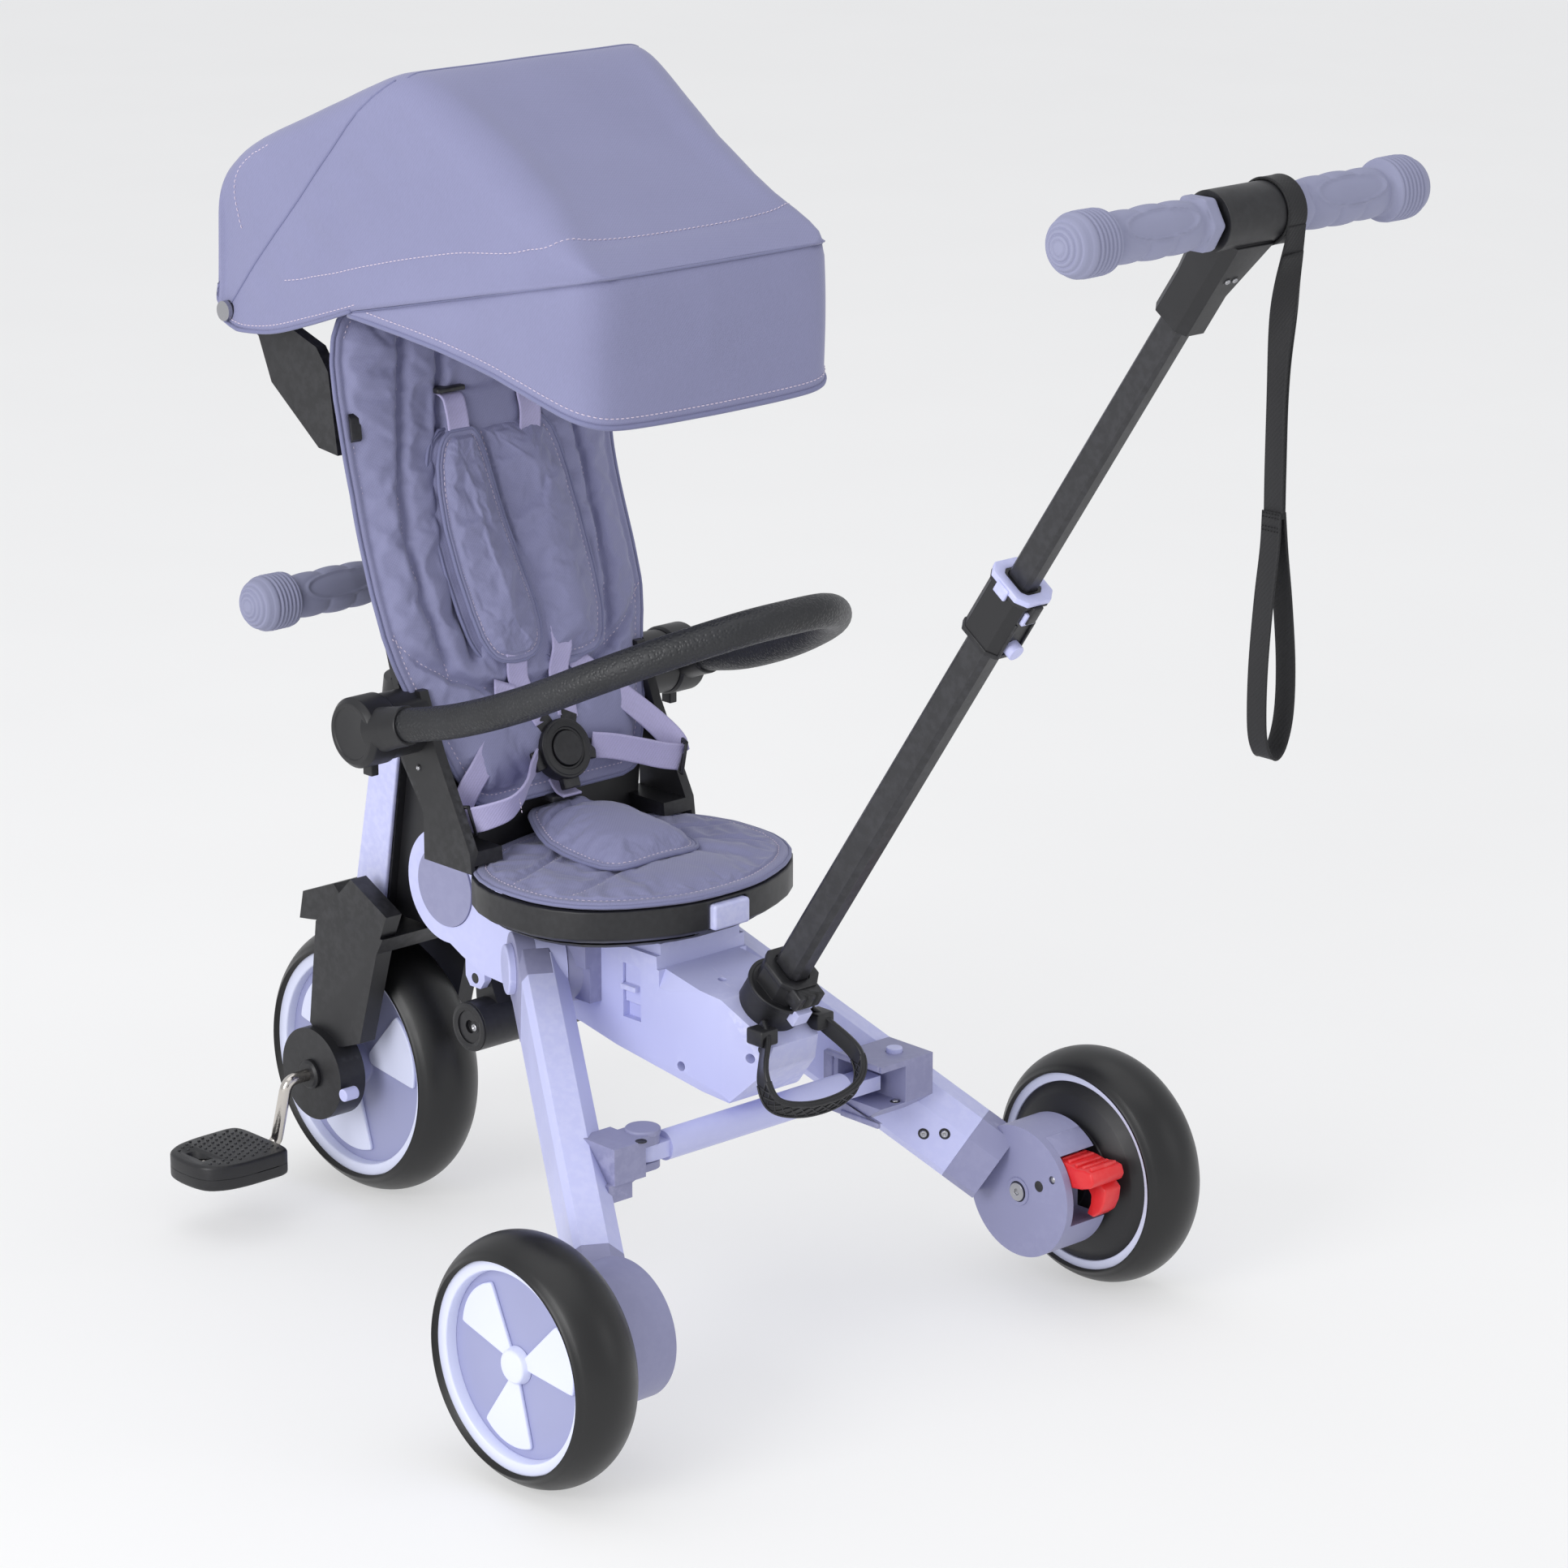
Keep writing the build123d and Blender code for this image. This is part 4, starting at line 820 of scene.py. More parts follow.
HT = [(117, 790.5), (121, 793.2), (128, 798), (138, 804.5), (150, 811.5), (170, 824.5), (190, 837.5), (210, 850.0), (230, 862.0), (252, 875.5), (275, 889.0), (292, 898.5), (305, 904.6), (315, 907.4),
      (325, 907.2), (336, 904.4), (350, 899.0), (365, 892.6), (382, 885.0), (400, 877.2), (420, 868.6), (440, 860.4), (458, 852.8), (474, 845.4), (487, 838.6), (496, 832.0), (502, 825.0), (505.6, 816), (506.8, 804),
      (506.6, 790), (506, 776), (505.4, 762), (504.8, 750), (504.4, 743)]
HB = [(117, 790.5), (121, 790.0), (128, 788.5), (138, 786.3), (150, 783.7), (170, 779.2), (190, 774.8), (210, 770.4), (230, 766.0), (252, 761.1), (275, 756.0), (292, 752.3), (305, 749.4), (315, 747.2),
      (325, 745.0), (336, 742.5), (350, 739.4), (365, 733.6), (382, 728.2), (400, 722.6), (420, 716.5), (440, 711.2), (458, 708.4), (474, 707.2), (487, 707.6), (496, 709.0), (501, 711.5), (504, 714.5), (505.6, 718),
      (506.2, 722), (506.2, 726), (505.8, 730), (505.2, 734), (504.8, 737)]
WB = [(117, 94), (118.2, 100), (121, 107), (128, 113.5), (138, 118), (150, 121.5), (190, 125), (230, 128.5), (315, 134), (400, 138), (470, 139.6), (506, 136.8), (600, 136.8)]
WT = [(117, 92), (121, 104), (128, 109), (138, 112), (150, 114), (190, 115), (230, 116.5), (315, 120.5), (345, 123.5), (400, 128.5), (470, 134), (500, 134.5), (506, 134), (600, 134)]
RH = [(117, 2), (121, 3), (128, 7), (138, 14), (150, 22), (190, 34), (230, 38), (270, 34), (300, 28), (330, 24), (400, 22), (470, 24), (496, 26), (506, 22)]
NSEC = 12     # extra sections between the listed ones
HN, HM = [], 121


def hood_sections():
    t_pts = catmull([np.array(a) for a in HT], 3)
    b_pts = catmull([np.array(a) for a in HB], 3)
    return list(zip(t_pts, b_pts))


def hood_point(T, B, v, disp=True):
    """Point of the hood for a section (top point T, bottom point B) and v in -1..1 across."""
    xt, zt = T
    xb, zb = B
    wb, wt = lerp_tab(WB, xb), lerp_tab(WT, xt)
    rr = lerp_tab(RH, xt)
    h = max(0.4, math.hypot(zt - zb, xt - xb))
    rr = min(rr, h * 0.62, wt * 0.5)
    sgn = 1 if v >= 0 else -1
    a = abs(v)
    # arc length: half top (wt - rr), corner, side (h - rr)
    Lt, Lc, Ls = wt - rr, rr * 1.5, max(0.01, h - rr)
    s = a * (Lt + Lc + Ls)
    if s < Lt:
        y, k = s, 0.0
    elif s < Lt + Lc:
        an = (s - Lt) / Lc * math.pi / 2
        y, k = Lt + rr * math.sin(an), rr * (1 - math.cos(an)) / h if h > 0 else 0
    else:
        k = (rr + (s - Lt - Lc)) / h
        f = (s - Lt - Lc) / Ls
        y = wt + (wb - wt) * f
    k = min(1.0, k)
    x, z = xt + (xb - xt) * k, zt + (zb - zt) * k
    return x, sgn * y, z, s, Lt, Lc, Ls, k


rs = np.random.RandomState(3)
PH = rs.rand(8) * 6.28


def fold_noise(x, z, y):
    return (0.5 * math.sin(x * 0.031 + z * 0.047 + PH[0] + 0.4 * math.sin(x * 0.013)) + 0.3 * math.sin(x * 0.058 - z * 0.036 + PH[1]) + 0.2 * math.sin(y * 0.041 + x * 0.022 + PH[2]))


def sstep(a, b, x):
    t = max(0.0, min(1.0, (x - a) / (b - a)))
    return t * t * (3 - 2 * t)


secs = hood_sections()
HGRID = []
for T, B in secs:
    row = []
    for j in range(HM):
        v = -1 + 2 * j / (HM - 1)
        x, y, z, s, Lt, Lc, Ls, k = hood_point(T, B, v)
        a = abs(v)
        p = Vector((x, y, z))
        sgn = 1 if v >= 0 else -1
        xt = T[0]
        back = xt > 503
        # top panel: sag between the bows, and soft long waves
        topw = 1 - sstep(Lt - 18, Lt + 10, s)
        if not back:
            if xt < 315:
                sag = 4.2 * math.sin(math.pi * min(1, max(0, (xt - 128) / 187))) ** 1.0
            else:
                sag = 3.6 * math.sin(math.pi * min(1, max(0, (xt - 325) / 160)))
            cy = 1 - (y / 118.0) ** 2
            p.z -= topw * sag * max(0.0, 0.25 + 0.75 * cy) * 0.9
            p.z += topw * 0.55 * fold_noise(x, 0, y * 1.6)
        # side panels: pulled in between their edges, with folds running down and forward
        sidew = sstep(Lt + Lc * 0.45, Lt + Lc + 8, s)
        if sidew > 0 and not back:
            diag = (x - 315) * 189 / 179 + (z - 908)          # 0 on the seam line from the top bow to the pivot
            front_side = 1 - sstep(-14, 6, diag)
            edge = min(1.0, (1 - k) * 6) * min(1.0, k * 3)
            # distance along the fold's width direction
            w = (z - 719) * 0.80 + (494 - x) * 0.42
            dist_seam = max(0.0, -diag)
            fall = math.exp(-((dist_seam - 26) / 52.0) ** 2)
            amp = 2.3 * fall * front_side * edge
            wob = 1.5 * math.sin(x * 0.05 + sgn)
            p.y -= sgn * (amp * (0.5 - 0.5 * math.cos(2 * math.pi * (w + wob) / 27.0)) + 2.6 * sidew * edge * math.sin(math.pi * k) * (0.6 if front_side > 0.5 else 0.9))
            p.y -= sgn * sidew * edge * 0.8 * (1 + fold_noise(x * 1.4, z * 1.3, sgn * 40)) * 0.6
        if back:
            bw = max(0.0, 1 - (y / 132.0) ** 2) * math.sin(math.pi * min(1, max(0, (822 - T[1]) / 78)))
            p.x -= 2.2 * bw
            p.x -= 0.4 * bw * (1 + math.sin(y * 0.09))
        # fold over the stitched front edge
        if xt < 150 and a < 0.9:
            p.z -= 0.9 * math.exp(-((xt - 147) / 2.6) ** 2) * topw
        row.append(p)
    HGRID.append(row)


def grid_normals(G):
    n, m = len(G), len(G[0])
    N = []
    for i in range(n):
        r = []
        for j in range(m):
            a = G[min(n - 1, i + 1)][j] - G[max(0, i - 1)][j]
            b = G[i][min(m - 1, j + 1)] - G[i][max(0, j - 1)]
            c = a.cross(b)
            r.append(c.normalized() if c.length > 1e-9 else Vector((0, 0, 1)))
        N.append(r)
    return N


def shell_from_grid(name, G, thick, mat, body, out_sign=1, rim=True):
    """Closed fabric shell: outer face on the grid, inner face thick mm behind it."""
    N = grid_normals(G)
    n, m = len(G), len(G[0])
    verts = [P(*G[i][j]) for i in range(n) for j in range(m)]
    verts += [P(*(G[i][j] - N[i][j] * out_sign * thick)) for i in range(n) for j in range(m)]
    o = n * m
    faces = []
    for i in range(n - 1):
        for j in range(m - 1):
            faces.append([i * m + j, i * m + j + 1, (i + 1) * m + j + 1, (i + 1) * m + j])
            faces.append([o + i * m + j, o + (i + 1) * m + j, o + (i + 1) * m + j + 1, o + i * m + j + 1])
    ring = [(0, j) for j in range(m)] + [(i, m - 1) for i in range(1, n)] + [(n - 1, j) for j in range(m - 2, -1, -1)] + [(i, 0) for i in range(n - 2, 0, -1)]
    ids = [i * m + j for i, j in ring]
    for k in range(len(ids)):
        a, b = ids[k], ids[(k + 1) % len(ids)]
        faces.append([a, o + a, o + b, b])
    ob = make(name, verts, faces, mat, body)
    return fix_normals(ob), N


hood, HNRM = shell_from_grid("canopy_hood", HGRID, 1.3, "fabric", "canopy")
# make the grid's normals face outwards
mid_i = len(HGRID) // 3
if HNRM[mid_i][HM // 2].z < 0:
    HNRM = [[-v for v in r] for r in HNRM]
    bpy.data.objects.remove(hood)
    hood, _ = shell_from_grid("canopy_hood", HGRID, 1.3, "fabric", "canopy", out_sign=-1)
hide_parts("canopy_fabric")

# nearest grid point lookup, to lay seams and stitches on the finished cloth
kd = kdtree.KDTree(len(HGRID) * HM)
flatH = []
for i, r in enumerate(HGRID):
    for j, p in enumerate(r):
        kd.insert(p, len(flatH))
        flatH.append((p, HNRM[i][j]))
kd.balance()


def on_cloth(kdt, flat, pts, lift=0.2, n=6):
    out, nrm = [], []
    for q in pts:
        q = Vector(q)
        f = kdt.find_n(q, n)
        W = 0
        p, nn = Vector(), Vector()
        for co, idx, d in f:
            w = 1 / (d + 0.4) ** 2
            W += w
            p += flat[idx][0] * w
            nn += flat[idx][1] * w
        p /= W
        nn = (nn / W).normalized()
        # keep the wanted place in the surface, take the height from the cloth
        q2 = q - nn * (q - p).dot(nn)
        out.append(q2 + nn * lift)
        nrm.append(nn)
    return out, nrm


def dense(pts, n=10):
    return [Vector(p) for p in catmull(pts, n)]


def seam_tube(name, pts, r, mat, body, kdt, flat, lift=0.0, seg=8):
    q, nn = on_cloth(kdt, flat, pts, lift)
    return tube(name, q, r, mat, body, seg=seg), q, nn


for s, tg in ((1, "left"), (-1, "right")):
    # diagonal seam from the pivot up to the top bow
    pts = dense([(492, s * 138, 724), (460, s * 138, 762), (420, s * 137, 806), (380, s * 134, 850), (345, s * 127, 890), (326, s * 112, 904)], 10)
    seam_tube("hood_side_seam_" + tg, pts, 0.8, "fabric2", "canopy", kd, flatH, 0.15)
    # rear stitch line
    pts = dense([(452, s * 136, 848), (470, s * 138, 838), (482, s * 138, 824), (487, s * 138, 806), (484, s * 138, 790), (479, s * 139, 778)], 10)
    q, nn = on_cloth(kd, flatH, pts, 0.0)
    stitches("hood_rear_stitch_" + tg, q, "thread", "canopy", nn, 3.0, 1.2, 0.42)
    # hem stitch along the lower edge
    pts = dense([(498, s * 138, 714.5), (474, s * 140, 711.8), (440, s * 139, 716.2), (400, s * 138, 727.6), (365, s * 136, 738.4), (345, s * 135, 745)], 10)
    q, nn = on_cloth(kd, flatH, pts, 0.0)
    stitches("hood_hem_stitch_" + tg, q, "thread", "canopy", nn, 3.0, 1.2, 0.42)
    # rolled hem
    pts = dense([(503, s * 137.5, 713), (487, s * 138.6, 708.2), (474, s * 139.6, 707.4), (440, s * 138.6, 711.2), (400, s * 137.6, 722.6), (352, s * 135.6, 738.8)], 10)
    tube("hood_hem_" + tg, pts, 1.5, "fabric2", "canopy", seg=10)
pts = dense([(318, y, 908) for y in range(-108, 109, 12)], 3)
seam_tube("hood_top_seam", pts, 0.7, "fabric2", "canopy", kd, flatH, 0.05)
# front stitch line round the hood
pts = dense([(429, 138, 750), (384, 137, 760.4), (337, 135, 773.4), (291, 133, 785), (245, 129, 795), (205, 124, 800), (176, 116, 805), (160, 104, 807.5), (152, 85, 808), (148, 50, 808), (147, 0, 808.5),
             (148, -50, 808), (152, -85, 808), (160, -104, 807.5), (176, -116, 805), (205, -124, 800), (245, -129, 795), (291, -133, 785), (337, -135, 773.4), (384, -137, 760.4), (429, -138, 750)], 12)
q, nn = on_cloth(kd, flatH, pts, 0.0)
stitches("hood_front_stitch", q, "thread", "canopy", nn, 3.0, 1.2, 0.42)
# rear window of black net, and its bound edge
G = []
for i in range(15):
    z = 752 + (812 - 752) * i / 14
    row = []
    for j in range(41):
        y = -104 + 208 * j / 40
        c, _n = on_cloth(kd, flatH, [(506, y, z)], 0.35)
        row.append(c[0])
    G.append(row)
net, _ = shell_from_grid("hood_net_window", G, 0.4, "net", "canopy", out_sign=-1)
loop = []
for y, z in [(-100, 754), (0, 753), (100, 754), (104.5, 758), (105, 782), (104, 806), (99, 811.5), (0, 812.5), (-99, 811.5), (-104, 806), (-105, 782), (-104.5, 758)]:
    loop.append((506, y, z))
lp = catmull(loop, 8, closed=True)
q, nn = on_cloth(kd, flatH, lp, 0.4)
tube("hood_window_binding", q, 1.1, "fabric2", "canopy", seg=8, closed=True)

# ------------------------------------------------------------------ visor
VP = [(355, 135.2), (330, 133.6), (300, 131.6), (270, 129.6), (240, 127.6), (212, 126.0), (186, 124.8), (165, 123.2), (150, 121.2), (138, 118.2), (129, 113.6), (122.5, 107.0), (118.6, 99.0), (116.4, 88), (115.2, 72), (114.4, 50), (114.0, 25),
      (113.8, 0)]
VP = VP + [(x, -y) for x, y in VP[::-1][1:]]
vp = catmull(VP, 4)
VT = [(113, 789.6), (117, 789.2), (150, 782.6), (250, 760.4), (352, 737.6), (360, 736)]
VB = [(113, 684.5), (115, 685.5), (118, 687), (124, 689.6), (135, 693.4), (152, 699), (175, 705.8), (205, 713.6), (235, 719.6), (264, 724.6), (300, 729.4), (330, 732.8), (356, 735.5)]
VROWS = 22
VG = []
cl = 0
for i in range(VROWS + 1):
    f = i / VROWS
    row = []
    for k, (x, y) in enumerate(vp):
        zt_, zb_ = lerp_tab(VT, x), lerp_tab(VB, x)
        z = zb_ + (zt_ - zb_) * f
        # outward normal in plan
        a, b = vp[max(0, k - 1)], vp[min(len(vp) - 1, k + 1)]
        t = Vector((b[0] - a[0], b[1] - a[1]))
        t.normalize()
        nrm = Vector((t.y, -t.x)) if True else None
        if nrm.dot(Vector((x - 250, y))) < 0:
            nrm = -nrm
        h = zt_ - zb_
        bulge = 1.6 * math.sin(math.pi * f) * min(1, h / 60)
        bulge += 0.9 * math.sin(x * 0.035 + f * 2.2 + (1.3 if y > 0 else 0.2)) * math.sin(math.pi * f) * min(1, h / 60)
        bulge += 0.45 * math.sin(y * 0.045 + f * 3.0) * math.sin(math.pi * f)
        bulge -= 1.3 * sstep(0.90, 1.0, f)          # tucked under the hood's fold
        bulge += 1.0 * math.exp(-((f * h - 3.0) / 3.2) ** 2)   # bound lower edge
        row.append(Vector((x + nrm.x * (bulge - 0.6), y + nrm.y * (bulge - 0.6), z)))
    VG.append(row)
visor, VNRM = shell_from_grid("canopy_visor_cloth", VG, 1.4, "fabric", "canopy")
if VNRM[10][len(vp) // 2].x > 0:
    VNRM = [[-v for v in r] for r in VNRM]
    bpy.data.objects.remove(visor)
    visor, _ = shell_from_grid("canopy_visor_cloth", VG, 1.4, "fabric", "canopy", out_sign=-1)
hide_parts("canopy_visor")
kdv = kdtree.KDTree((VROWS + 1) * len(vp))
flatV = []
for i, r in enumerate(VG):
    for j, p in enumerate(r):
        kdv.insert(p, len(flatV))
        flatV.append((p, VNRM[i][j]))
kdv.balance()
tube("visor_edge_binding", [r for r in VG[0]], 1.9, "fabric2", "canopy", seg=10)
tube("visor_top_piping", [r + Vector((0, 0, 0.4)) for r in VG[-1]], 0.9, "fabric2", "canopy", seg=8)
ed = []
for k, (x, y) in enumerate(vp):
    ed.append(Vector((x, y, lerp_tab(VB, x) + 6.5)))
q, nn = on_cloth(kdv, flatV, ed[3:-3], 0.0)
stitches("visor_edge_stitch", q, "thread", "canopy", nn, 3.0, 1.2, 0.42)
# pivot plugs seen through the hood's sides
for s, tg in ((1, "left"), (-1, "right")):
    pr = round_prof([(0, 141.9), (6.6, 141.9), (7.2, 140.6), (7.2, 134), (0, 134)], [0, 0.8, 0.4, 0, 0])
    o = revolve("canopy_pivot_plug_" + tg, pr, (494, 0, 719), seg=48, mat="black", sign=s, body="canopy")
# ------------------------------------------------------------------ padded pieces
def seg_dist(px, py, line):
    """Distance from points to a polyline, and the arc length at the nearest place."""
    best = np.full(px.shape, 1e9)
    arc = np.zeros(px.shape)
    s0 = 0.0
    for (ax, ay), (bx_, by_) in zip(line[:-1], line[1:]):
        dx, dy = bx_ - ax, by_ - ay
        L = math.hypot(dx, dy)
        if L < 1e-9:
            continue
        t = np.clip(((px - ax) * dx + (py - ay) * dy) / (L * L), 0, 1)
        d = np.hypot(px - ax - t * dx, py - ay - t * dy)
        m = d < best
        best = np.where(m, d, best)
        arc = np.where(m, s0 + t * L, arc)
        s0 += L
    return best, arc


class Pad:
    """A quilted pad: outline in its own (a, b) plane, seams, and a map from (a, b, height) to space (mm)."""

    def __init__(self, name, left, right, b0, b1, nv, nu, fmap, thick, border, seams, body, back=1.0, puff=1.0, edge_r=2.2, rim_h=3.4, cap=6.0, sim=True, mat="fabric"):
        self.name, self.fmap = name, fmap
        B = np.linspace(0, 1, nv)
        # denser rows at both ends
        B = b0 + (b1 - b0) * (0.5 - 0.5 * np.cos(np.pi * B)) * 0.5 + (b1 - b0) * B * 0.5
        U = np.linspace(0, 1, nu)
        A = np.array([[lerp_tab(left, b) + (lerp_tab(right, b) - lerp_tab(left, b)) * u for u in U] for b in B])
        BB = np.array([[b for _ in U] for b in B])
        out = [(A[0, j], BB[0, j]) for j in range(nu)] + [(A[i, -1], BB[i, -1]) for i in range(1, nv)] + [(A[-1, j], BB[-1, j]) for j in range(nu - 2, -1, -1)] + [(A[i, 0], BB[i, 0]) for i in range(nv - 2, -1, -1)]
        self.outline = out
        D, S = seg_dist(A, BB, out)
        h = rim_h * np.sqrt(np.clip(1 - (1 - np.clip(D / edge_r, 0, 1)) ** 2, 0, 1))
        inner = np.clip(D - border, 0, None)
        rise = (thick - rim_h) * puff * (1 - np.exp(-inner / 9.0))
        groove = 1.1 * np.exp(-((D - border) / 1.5) ** 2)
        dip = np.ones_like(D)
        pin = np.clip(np.exp(-(np.clip(D - border, -99, 99) / 1.6) ** 2) + (D < border), 0, 1)
        pk = np.exp(-((D - border - 7) / 7.0) ** 2) * (D > border)
        rsx = np.random.RandomState(len(name) * 7 + 11)
        ph = rsx.rand(12) * 6.28
        ripple = pk * (0.55 * np.sin(S / 3.9 + ph[0] + 1.7 * np.sin(S / 23.0 + ph[1])) + 0.35 * np.sin(S / 6.7 + ph[2]))
        seam_h = np.zeros_like(D)
        self.seam_lines = seams
        for k, (line, w) in enumerate(seams):
            d, s = seg_dist(A, BB, line)
            dip *= 1 - 0.86 * np.exp(-(d / w) ** 2)
            seam_h += 0.9 * np.exp(-(d / 1.4) ** 2) * (D > border)
            pin = np.maximum(pin, np.exp(-(d / 1.7) ** 2))
            pk2 = np.exp(-((d - 6.5) / 6.0) ** 2) * (D > border)
            ripple += pk2 * (0.6 * np.sin(s / 4.6 + ph[3 + k % 6] + 1.5 * np.sin(s / 19.0 + ph[4])) + 0.35 * np.sin(s / 8.3 + ph[5]))
        H = h + rise * dip - groove + ripple * (0.9 if not sim else 0.55) - seam_h * 0.5
        self.A, self.BB, self.H, self.pin, self.D = A, BB, H, pin, D
        hb = -back * np.sqrt(np.clip(1 - (1 - np.clip(D / edge_r, 0, 1)) ** 2, 0, 1))
        self.nv, self.nu = nv, nu
        verts, faces = [], []
        for i in range(nv):
            for j in range(nu):
                verts.append(P(*fmap(A[i, j], BB[i, j], H[i, j])))
        for i in range(nv):
            for j in range(nu):
                verts.append(P(*fmap(A[i, j], BB[i, j], hb[i, j])))
        o = nv * nu
        for i in range(nv - 1):
            for j in range(nu - 1):
                a = i * nu + j
                faces.append([a, a + 1, a + nu + 1, a + nu])
                faces.append([o + a, o + a + nu, o + a + nu + 1, o + a + 1])
        ob = make(name, verts, faces, mat)
        bm = bmesh.new()
        bm.from_mesh(ob.data)
        self.rest = [v.co.copy() for v in bm.verts]
        bm.free()
        # weld the rim of front and back (same places there), keep front indices
        bm = bmesh.new()
        bm.from_mesh(ob.data)
        bm.verts.ensure_lookup_table()
        tmap = {}
        ids = [0 * nu + j for j in range(nu)] + [i * nu + nu - 1 for i in range(1, nv)] + [(nv - 1) * nu + j for j in range(nu - 1)] + [i * nu for i in range(1, nv - 1)]
        for a in ids:
            tmap[bm.verts[o + a]] = bm.verts[a]
        bmesh.ops.weld_verts(bm, targetmap=tmap)
        bmesh.ops.recalc_face_normals(bm, faces=bm.faces)
        bm.to_mesh(ob.data)
        bm.free()
        self.ob = ob
        if sim:
            self.inflate(cap)
        self.final()
        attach(self.ob, body)
        self.body = body

    def inflate(self, cap):
        """Cloth pressure swells the quilted fields between the sewn lines; no point may move more than cap mm."""
        ob = self.ob
        me = ob.data
        start = np.array([v.co for v in me.vertices])
        vg = ob.vertex_groups.new(name="pin")
        nfront = self.nv * self.nu
        pin = self.pin.ravel()
        for v in me.vertices:
            w = float(pin[v.index]) if v.index < nfront else 1.0
            vg.add([v.index], w, "REPLACE")
        m = ob.modifiers.new("cloth", "CLOTH")
        st = m.settings
        st.quality = 6
        st.mass = 0.25
        st.tension_stiffness = st.compression_stiffness = 12
        st.shear_stiffness = 6
        st.bending_stiffness = 0.25
        st.use_pressure = True
        st.uniform_pressure_force = 4.0
        st.shrink_min = -0.045
        st.effector_weights.gravity = 0
        st.vertex_group_mass = "pin"
        m.collision_settings.use_collision = False
        m.collision_settings.use_self_collision = False
        for f in range(1, 21):
            SC.frame_set(f)
        dg = bpy.context.evaluated_depsgraph_get()
        ev = ob.evaluated_get(dg)
        co = np.zeros(len(ev.data.vertices) * 3)
        ev.data.vertices.foreach_get("co", co)
        co = co.reshape(-1, 3)
        ob.modifiers.remove(m)
        SC.frame_set(1)
        d = co - start
        L = np.linalg.norm(d, axis=1)
        k = np.where(L > 1e-9, np.tanh(L / (cap * 0.001)) * cap * 0.001 / np.maximum(L, 1e-9), 1.0)
        bad = ~np.isfinite(d).all(axis=1)
        d[bad] = 0
        k[bad] = 1
        me.vertices.foreach_set("co", (start + d * k[:, None]).ravel())
        me.update()

    def final(self):
        me = self.ob.data
        nf = self.nv * self.nu
        co = np.array([v.co for v in me.vertices])[:nf]
        nn = np.array([v.normal for v in me.vertices])[:nf]
        self.front_co, self.front_n = co, nn
        self.kd = kdtree.KDTree(nf)
        for i, (a, b) in enumerate(zip(self.A.ravel(), self.BB.ravel())):
            self.kd.insert((a, b, 0), i)
        self.kd.balance()
        s = self.ob.modifiers.new("smooth", "SUBSURF")
        s.levels = s.render_levels = 1
        apply_mods(self.ob)
        me = self.ob.data
        me.polygons.foreach_set("use_smooth", [True] * len(me.polygons))

    def on(self, pts):
        """Places on the finished cloth, in mm of the construction frame, for (a, b) points."""
        out, nr = [], []
        for a, b in pts:
            W, p, n = 0, np.zeros(3), np.zeros(3)
            for co, idx, d in self.kd.find_n((a, b, 0), 4):
                w = 1 / (d + 0.05) ** 2
                W += w
                p += self.front_co[idx] * w
                n += self.front_n[idx] * w
            p /= W
            out.append(Vector(((p[0] - SHX) * 1000, p[1] * 1000, p[2] * 1000)))
            nr.append(Vector(n / W).normalized())
        return out, nr

    def stitch(self, tag, pts, mat="thread", r=0.42, lift=-0.05, n=8):
        q = catmull(pts, n)
        p, nn = self.on([(c[0], c[1]) for c in q])
        return stitches(self.name + "_" + tag, p, mat, self.body, nn, 3.0, 1.2, r, lift)

    def border_stitch(self, inset, mat="thread", tag="border_stitch"):
        """A stitch row inset from the whole outline."""
        o = self.outline
        c = (np.mean([p[0] for p in o]), np.mean([p[1] for p in o]))
        pts = []
        n = len(o)
        for i in range(0, n, 2):
            a, b = o[i - 3], o[(i + 3) % n]
            t = np.array([b[0] - a[0], b[1] - a[1]])
            L = np.linalg.norm(t)
            if L < 1e-6:
                continue
            t /= L
            nrm = np.array([-t[1], t[0]])
            if nrm @ (np.array(c) - np.array(o[i])) < 0:
                nrm = -nrm
            q = np.array(o[i]) + nrm * inset
            pts.append(q)
        # drop points nearer to the outline than the inset (inside corners)
        P_ = np.array(pts)
        d, _ = seg_dist(P_[:, 0], P_[:, 1], o)
        pts = [tuple(p) for p, dd in zip(P_, d) if dd > inset * 0.96]
        pts.append(pts[0])
        p, nn = self.on(pts)
        return stitches(self.name + "_" + tag, p, mat, self.body, nn, 3.0, 1.2, 0.42, -0.05)

    def piping(self, r=1.3, mat="fabric2", tag="binding", lift=0.0):
        o = self.outline[:-1]
        pts = [self.fmap(a, b, 0.8 + lift) for a, b in o[::2]]
        return tube(self.name + "_" + tag, pts, r, mat, self.body, seg=8, closed=True)


# ---- back pad: follows the back's curve, two long quilted channels each side
BACKP = [(284, 372), (301, 420), (319, 460), (331, 500), (345, 540), (358, 580), (367, 620), (373, 660), (379, 700), (384, 738)]
BKX, BKZ = [p[0] for p in BACKP], [p[1] for p in BACKP]
_bs = catmull([np.array(p, float) for p in BACKP], 12)
BSX, BSZ = [p[0] for p in _bs], [p[1] for p in _bs]


def bx(z):
    return float(np.interp(z, BSZ, BSX))


def back_map(front_off=8.0):
    """(y, z, height towards the rider)"""
    def f(a, b, h):
        z = b
        x = bx(z)
        sl = (bx(z + 3) - bx(z - 3)) / 6.0
        n = Vector((-1, 0, sl)).normalized()
        return (x + front_off * 1.0 + n.x * h, a, z + n.z * h)
    return f


def mirror_tab(t):
    return [(b, -w) for b, w in t]


